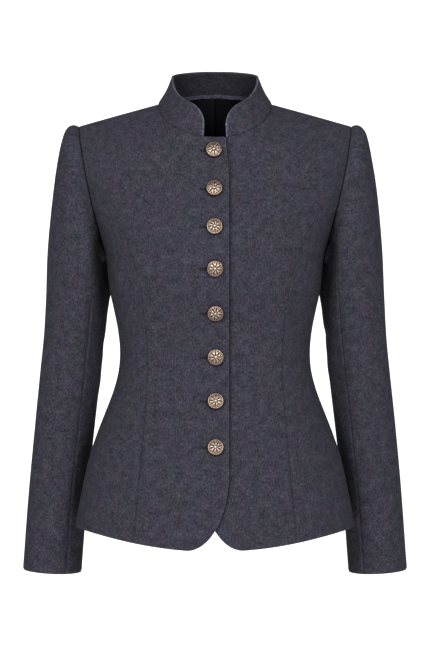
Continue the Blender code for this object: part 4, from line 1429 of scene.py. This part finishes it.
def wool(name, painted_light_level=1.0):
    """Milled melange wool: dark, middle and light fibres in short upright flecks, finer hairs at
    two slants over them, and a faint twill under the nap."""
    m = Shading(name)
    flecks = m.noise(m.cloth((1, 0.55)), 480, 4.0, 0.66)
    fine = m.noise(m.cloth((1, 0.5)), 2900, 2.0, 0.6)
    hair_left = m.noise(m.cloth((1, 0.16), 0.5), 2100, 1.0, 0.5)
    hair_right = m.noise(m.cloth((1, 0.16), -0.62), 1900, 1.0, 0.5)
    clouds = m.noise(m.cloth((1, 0.8)), 95, 2.0, 0.55)
    broad = m.noise(m.cloth(), 9, 1.0, 0.5)
    patches = m.noise(m.cloth((1, 0.8)), 36, 2.0, 0.6)
    mix = 0.5 + (flecks - 0.5) * 1.6 + (fine - 0.5) * 1.4 + (clouds - 0.5) * 0.6
    hairs = (hair_left.maximum(hair_right) - 0.57) * 3.0
    blend = (mix + hairs.maximum(0.0) * 0.55).clipped()
    fibres = m.ramp(blend, (0.05, DARK_FIBRE), (0.5, MIDDLE_FIBRE), (0.98, LIGHT_FIBRE))
    tinting = broad * 0.35 + patches * 0.65
    tint = m.ramp(tinting, (0.38, (0.97, 1.0, 0.93)), (0.62, (1.015, 0.985, 1.065)))
    warming = m.noise(m.cloth((1, 0.8), 0.9), 47, 2.0, 0.6)
    warmth = m.ramp(warming, (0.38, (0.94, 1.015, 1.0)), (0.62, (1.06, 0.985, 1.0)))
    tinted = m.mixed(1.0, fibres, tint, "MULTIPLY")
    tinted = m.mixed(1.0, tinted, warmth, "MULTIPLY")
    # Painted light and shade: the fibres' colour is scaled by the pieces' painted shading and by
    # the level of a lit or shaded copy of this wool.
    lit = m.scaled(tinted, (1 + m.attribute("tone")) * painted_light_level)
    twill = m.add(
        "ShaderNodeTexWave",
        {"bands_direction": "DIAGONAL", "wave_profile": "SIN"},
        {"Vector": m.cloth(), "Scale": 165, "Distortion": 1.2, "Detail": 1.0, "Detail Scale": 2.0},
    )
    nap = fine * 0.5 + flecks * 0.7 + hairs.maximum(0.0) * 0.5 + twill * 0.25
    uneven = m.bump(clouds, 0.0012)
    surface = m.bump(nap, 0.00042, 0.9, uneven)
    return m.finish(
        Base_Color=lit,
        Roughness=0.95,
        Specular_IOR_Level=0.18,
        Sheen_Weight=0.02,
        Sheen_Roughness=0.45,
        Sheen_Tint=(0.62, 0.64, 0.75, 1),
        Normal=surface,
    )


def satin(name):
    """Dark navy lining satin: fine ribs along the warp and a soft gloss."""
    m = Shading(name)
    ribs = m.noise(m.cloth((1, 0.05)), 1500, 1.0, 0.5)
    clouds = m.noise(m.cloth(), 60, 2.0, 0.5)
    plain = m.mixed(clouds, (0.0010, 0.0009, 0.0022, 1), (0.0017, 0.0017, 0.0041, 1))
    # The lining's colour is scaled by the pieces' painted light and shade.
    colour = m.scaled(plain, 1 + m.attribute("tone"))
    surface = m.bump(ribs, 0.00012, 0.6)
    roughness = 0.46 + ribs * 0.14
    return m.finish(
        Base_Color=colour, Roughness=roughness, Specular_IOR_Level=0.1, Normal=surface
    )


def aged_metal(name):
    """Aged brass with a silvery face: bright where the relief is worn, dark brown in its hollows
    and at its rim, which also carries painted shade, with a coppery cast and fine scratches
    between."""
    m = Shading(name)
    where = m.add("ShaderNodeTexCoord", {}, output=3)
    spots = m.noise(where, 420, 3.0, 0.6)
    scratches = m.noise(where, 2600, 2.0, 0.6)
    height = m.attribute("relief")
    wear_and_rim_shade = (height * 1.25 + (spots - 0.5) * 0.5 + 0.02).clipped()
    colour = m.ramp(
        wear_and_rim_shade,
        (0.16, (0.014, 0.007, 0.005)),
        (0.40, (0.10, 0.058, 0.038)),
        (0.68, (0.28, 0.20, 0.15)),
        (0.98, (0.50, 0.42, 0.35)),
    )
    roughness = 0.60 - wear_and_rim_shade * 0.24 + (spots - 0.5) * 0.2
    surface = m.bump(scratches, 0.00006, 0.7)
    return m.finish(Base_Color=colour, Roughness=roughness, Metallic=0.92, Normal=surface)


def thread_material(name, colour):
    """Twisted silk thread: a fine spiral of light and dark along it."""
    m = Shading(name)
    where = m.add("ShaderNodeTexCoord", {}, output=3)
    strands = m.noise(where, 2400, 2.0, 0.6)
    dark = tuple(0.55 * c for c in colour)
    shade = m.mixed(strands, (*dark, 1), (*colour, 1))
    surface = m.bump(strands, 0.0001, 0.6)
    return m.finish(Base_Color=shade, Roughness=0.6, Specular_IOR_Level=0.4, Normal=surface)


def backdrop(name, colour):
    """Painted board: nearly white, with a trace of grain."""
    m = Shading(name)
    where = m.add("ShaderNodeTexCoord", {}, output=3)
    grain = m.noise(where, 30, 3.0, 0.5)
    shade = m.mixed(grain, (*(c * 0.985 for c in colour), 1), (*colour, 1))
    glow = m.attribute("glow")
    light = m.add("ShaderNodeCombineColor", {}, {0: glow, 1: glow, 2: glow})
    return m.finish(Base_Color=shade, Roughness=0.9, Emission_Color=light, Emission_Strength=1.0)


# Stage


PIXEL = 1.38  # millimetres of the plane through the origin in one pixel of the frame
FRAME_HEIGHT = 645
CAMERA = (0.0, -2.6, -0.30)
SENSOR = 36.0
FLOOR_HEIGHT = -1.35
FLOOR_ACROSS = np.linspace(-14, 14, 141)
FLOOR_DEEP = np.linspace(-14, 8.5, 142)
SWEEP_START = 3.2
SWEEP_RADIUS = 1.5
GLOW_START = 2.6  # the white part of the sweep: how far behind the jacket, and half its width
GLOW_HALF = 2.0
GLOW_EDGE = 0.6  # over which it fades in
GLOW = 0.75
LAMPS = table(
    "x y z width power",
    (-1.4, -3.1, 0.9, 1.2, 77),
    (1.4, -3.1, 0.9, 1.2, 71),
)
LAMP_AIM = (0, 0, -0.3)
ROOM_LIGHT = 0.24


def camera():
    lens = bpy.data.cameras.new("camera")
    lens.sensor_width = SENSOR
    lens.lens = SENSOR * -CAMERA[1] / (FRAME_HEIGHT * PIXEL * MM)
    stand = bpy.data.objects.new("camera", lens)
    stand.location = CAMERA
    stand.rotation_euler = (QUARTER, 0, 0)
    bpy.context.scene.collection.objects.link(stand)
    bpy.context.scene.camera = stand


def floor(material):
    """A wide pale floor that sweeps up behind the jacket into a white wall. Its own glow, which
    keeps the background white, starts behind the jacket."""
    across, deep = np.meshgrid(FLOOR_ACROSS, FLOOR_DEEP)
    bend = QUARTER * SWEEP_RADIUS
    past = np.clip(deep - SWEEP_START, 0, bend) / SWEEP_RADIUS
    y = np.minimum(deep, SWEEP_START) + SWEEP_RADIUS * np.sin(past)
    rise = SWEEP_RADIUS * (1 - np.cos(past)) + np.clip(deep - SWEEP_START - bend, 0, None)
    points = np.stack([across, y, FLOOR_HEIGHT + rise], axis=-1).reshape(-1, 3)
    quads = grid_faces(*across.shape)[0]
    mesh = bpy.data.meshes.new("floor")
    mesh.from_pydata(points.tolist(), [], quads.tolist())
    behind = step_up((deep - GLOW_START) / GLOW_EDGE)
    light = GLOW * behind * step_up((GLOW_HALF - np.abs(across)) / GLOW_EDGE)
    glow = mesh.attributes.new("glow", "FLOAT", "POINT")
    glow.data.foreach_set("value", light.ravel().astype(np.float32))
    mesh.materials.append(material)
    mesh.shade_smooth()
    piece = bpy.data.objects.new("floor", mesh)
    bpy.context.scene.collection.objects.link(piece)


def lights():
    """Soft boxes that face the jacket, in a bright room."""
    for number, (x, y, z, width, power) in enumerate(zip(*LAMPS.values())):
        lamp = bpy.data.lights.new(f"soft_box_{number}", "AREA")
        lamp.shape = "DISK"
        lamp.size = width
        lamp.energy = power
        stand = bpy.data.objects.new(f"soft_box_{number}", lamp)
        stand.location = (x, y, z)
        aim = Vector(LAMP_AIM) - Vector((x, y, z))
        stand.rotation_euler = aim.to_track_quat("-Z", "Y").to_euler()
        bpy.context.scene.collection.objects.link(stand)
    world = bpy.data.worlds.new("room")
    world.use_nodes = True
    background = world.node_tree.nodes["Background"]
    background.inputs["Color"].default_value = (1, 1, 1, 1)
    background.inputs["Strength"].default_value = ROOM_LIGHT
    bpy.context.scene.world = world
    bpy.context.scene.view_settings.view_transform = "Standard"


# The whole jacket


def lined_body(*edges_and_depths):
    """A test for the parts of a panel's inner face that show lining: further in from each named
    edge than its depth of wool."""

    def lined(distances):
        return np.logical_and.reduce([distances[name] > depth for name, depth in edges_and_depths])

    return lined


def main():
    camera()
    lights()
    floor(backdrop("pale_floor", (0.93, 0.93, 0.93)))
    cloth, lining = wool("melange_wool"), satin("navy_satin")
    materials = [cloth, lining]

    front = front_panel()
    front_x = torso(front[..., 0], front[..., 1])[..., 0]
    low, high, columns = len(LOW), len(HIGH) - 1, front.shape[1]
    armhole_share = step_up((np.arange(low + high) - low + 8) / 8)[:, None]
    shoulder_share = step_up((np.arange(columns) - len(NECK_U) + 4) / 4)
    shaped = shaped_seam_weight(front[:, -1:, 1])
    front_edges = {
        "left": ("fold", 1.0),
        "bottom": ("fold", 1.0),
        "right": ("seam", shaped + (ARMHOLE_SEAM - shaped) * armhole_share),
        "top": ("seam", COLLAR_SEAM + (SHOULDER_SEAM - COLLAR_SEAM) * shoulder_share),
    }
    lined_front = lined_body(("left", FACING), ("bottom", TURN_UP))
    place, width, depth = OVERLAP_SHADE
    beside = front_x + front_x[:, :1]
    shade = depth * np.exp(-((np.clip(beside - place, 0, None) / width) ** 2))
    under = {"shade": shade, "across": (1, 0, 0)}
    over = {"lift": lift_of(front_x), "across": (1, 0, 0), "offset": (-700, 90)}
    for name, side, looks in (("left", 1, under), ("right", -1, over)):
        node, rests_on = f"front_{name}", ["back_cloth"]
        body_piece(node, front, front_edges, lined_front, materials, rests_on, side, **looks)
    side_edges = {
        "left": ("seam", shaped_seam_weight(HEM_SIDE + (ARMPIT - HEM_SIDE) * LOW)[:, None]),
        "right": ("seam", SIDE_SEAM),
        "top": ("seam", ARMHOLE_SEAM),
        "bottom": ("fold", 1.0),
    }
    lined_side = lined_body(("bottom", TURN_UP))
    side_front = side_panel(FRONT_SEAM, FRONT_JUNCTION, behind=False)
    side_back = side_panel(BACK_SEAM, BACK_JUNCTION, behind=True)
    for name, side, shift in (("left", 1, 0), ("right", -1, 410)):
        for part, grid, rests_on, offset in (
            ("side_front", side_front, f"front_{name}_cloth", (300 + shift, 0)),
            ("side_back", side_back, "back_cloth", (500 + shift, 700)),
        ):
            node, looks = f"{part}_{name}", {"shade": side_shade(grid), "offset": offset}
            body_piece(node, grid, side_edges, lined_side, materials, [rests_on], side, **looks)
        sleeve_pieces(name, materials)
    back_side = front_edges["right"]
    back_edges = {
        "left": back_side,
        "right": back_side,
        "top": ("seam", COLLAR_SEAM),
        "bottom": ("fold", 1.0),
    }
    looks = {"across": (-1, 0, 0), "offset": (0, -900)}
    body_piece("back", back_panel(), back_edges, lined_side, materials, [], **looks)
    # A lighter copy of the wool: painted light on the neck tape, which faces up into the light.
    tape = neck_tape(wool("lit_tape_wool", 1.2))
    # The inner face of the collar is a darker copy of the wool: painted shade inside the neck.
    collar_piece([cloth, wool("shaded_inner_wool", 0.50)])
    lining_piece(lining)

    metal = aged_metal("aged_brass")
    feet = [button_piece(number, metal) for number in range(1, BUTTONS + 1)]
    buttonhole_piece(feet, thread_material("buttonhole_thread", (0.014, 0.012, 0.015)))
    slit_shadow_piece(feet, thread_material("slit_shadow", (0.0010, 0.0010, 0.0014)))


main()
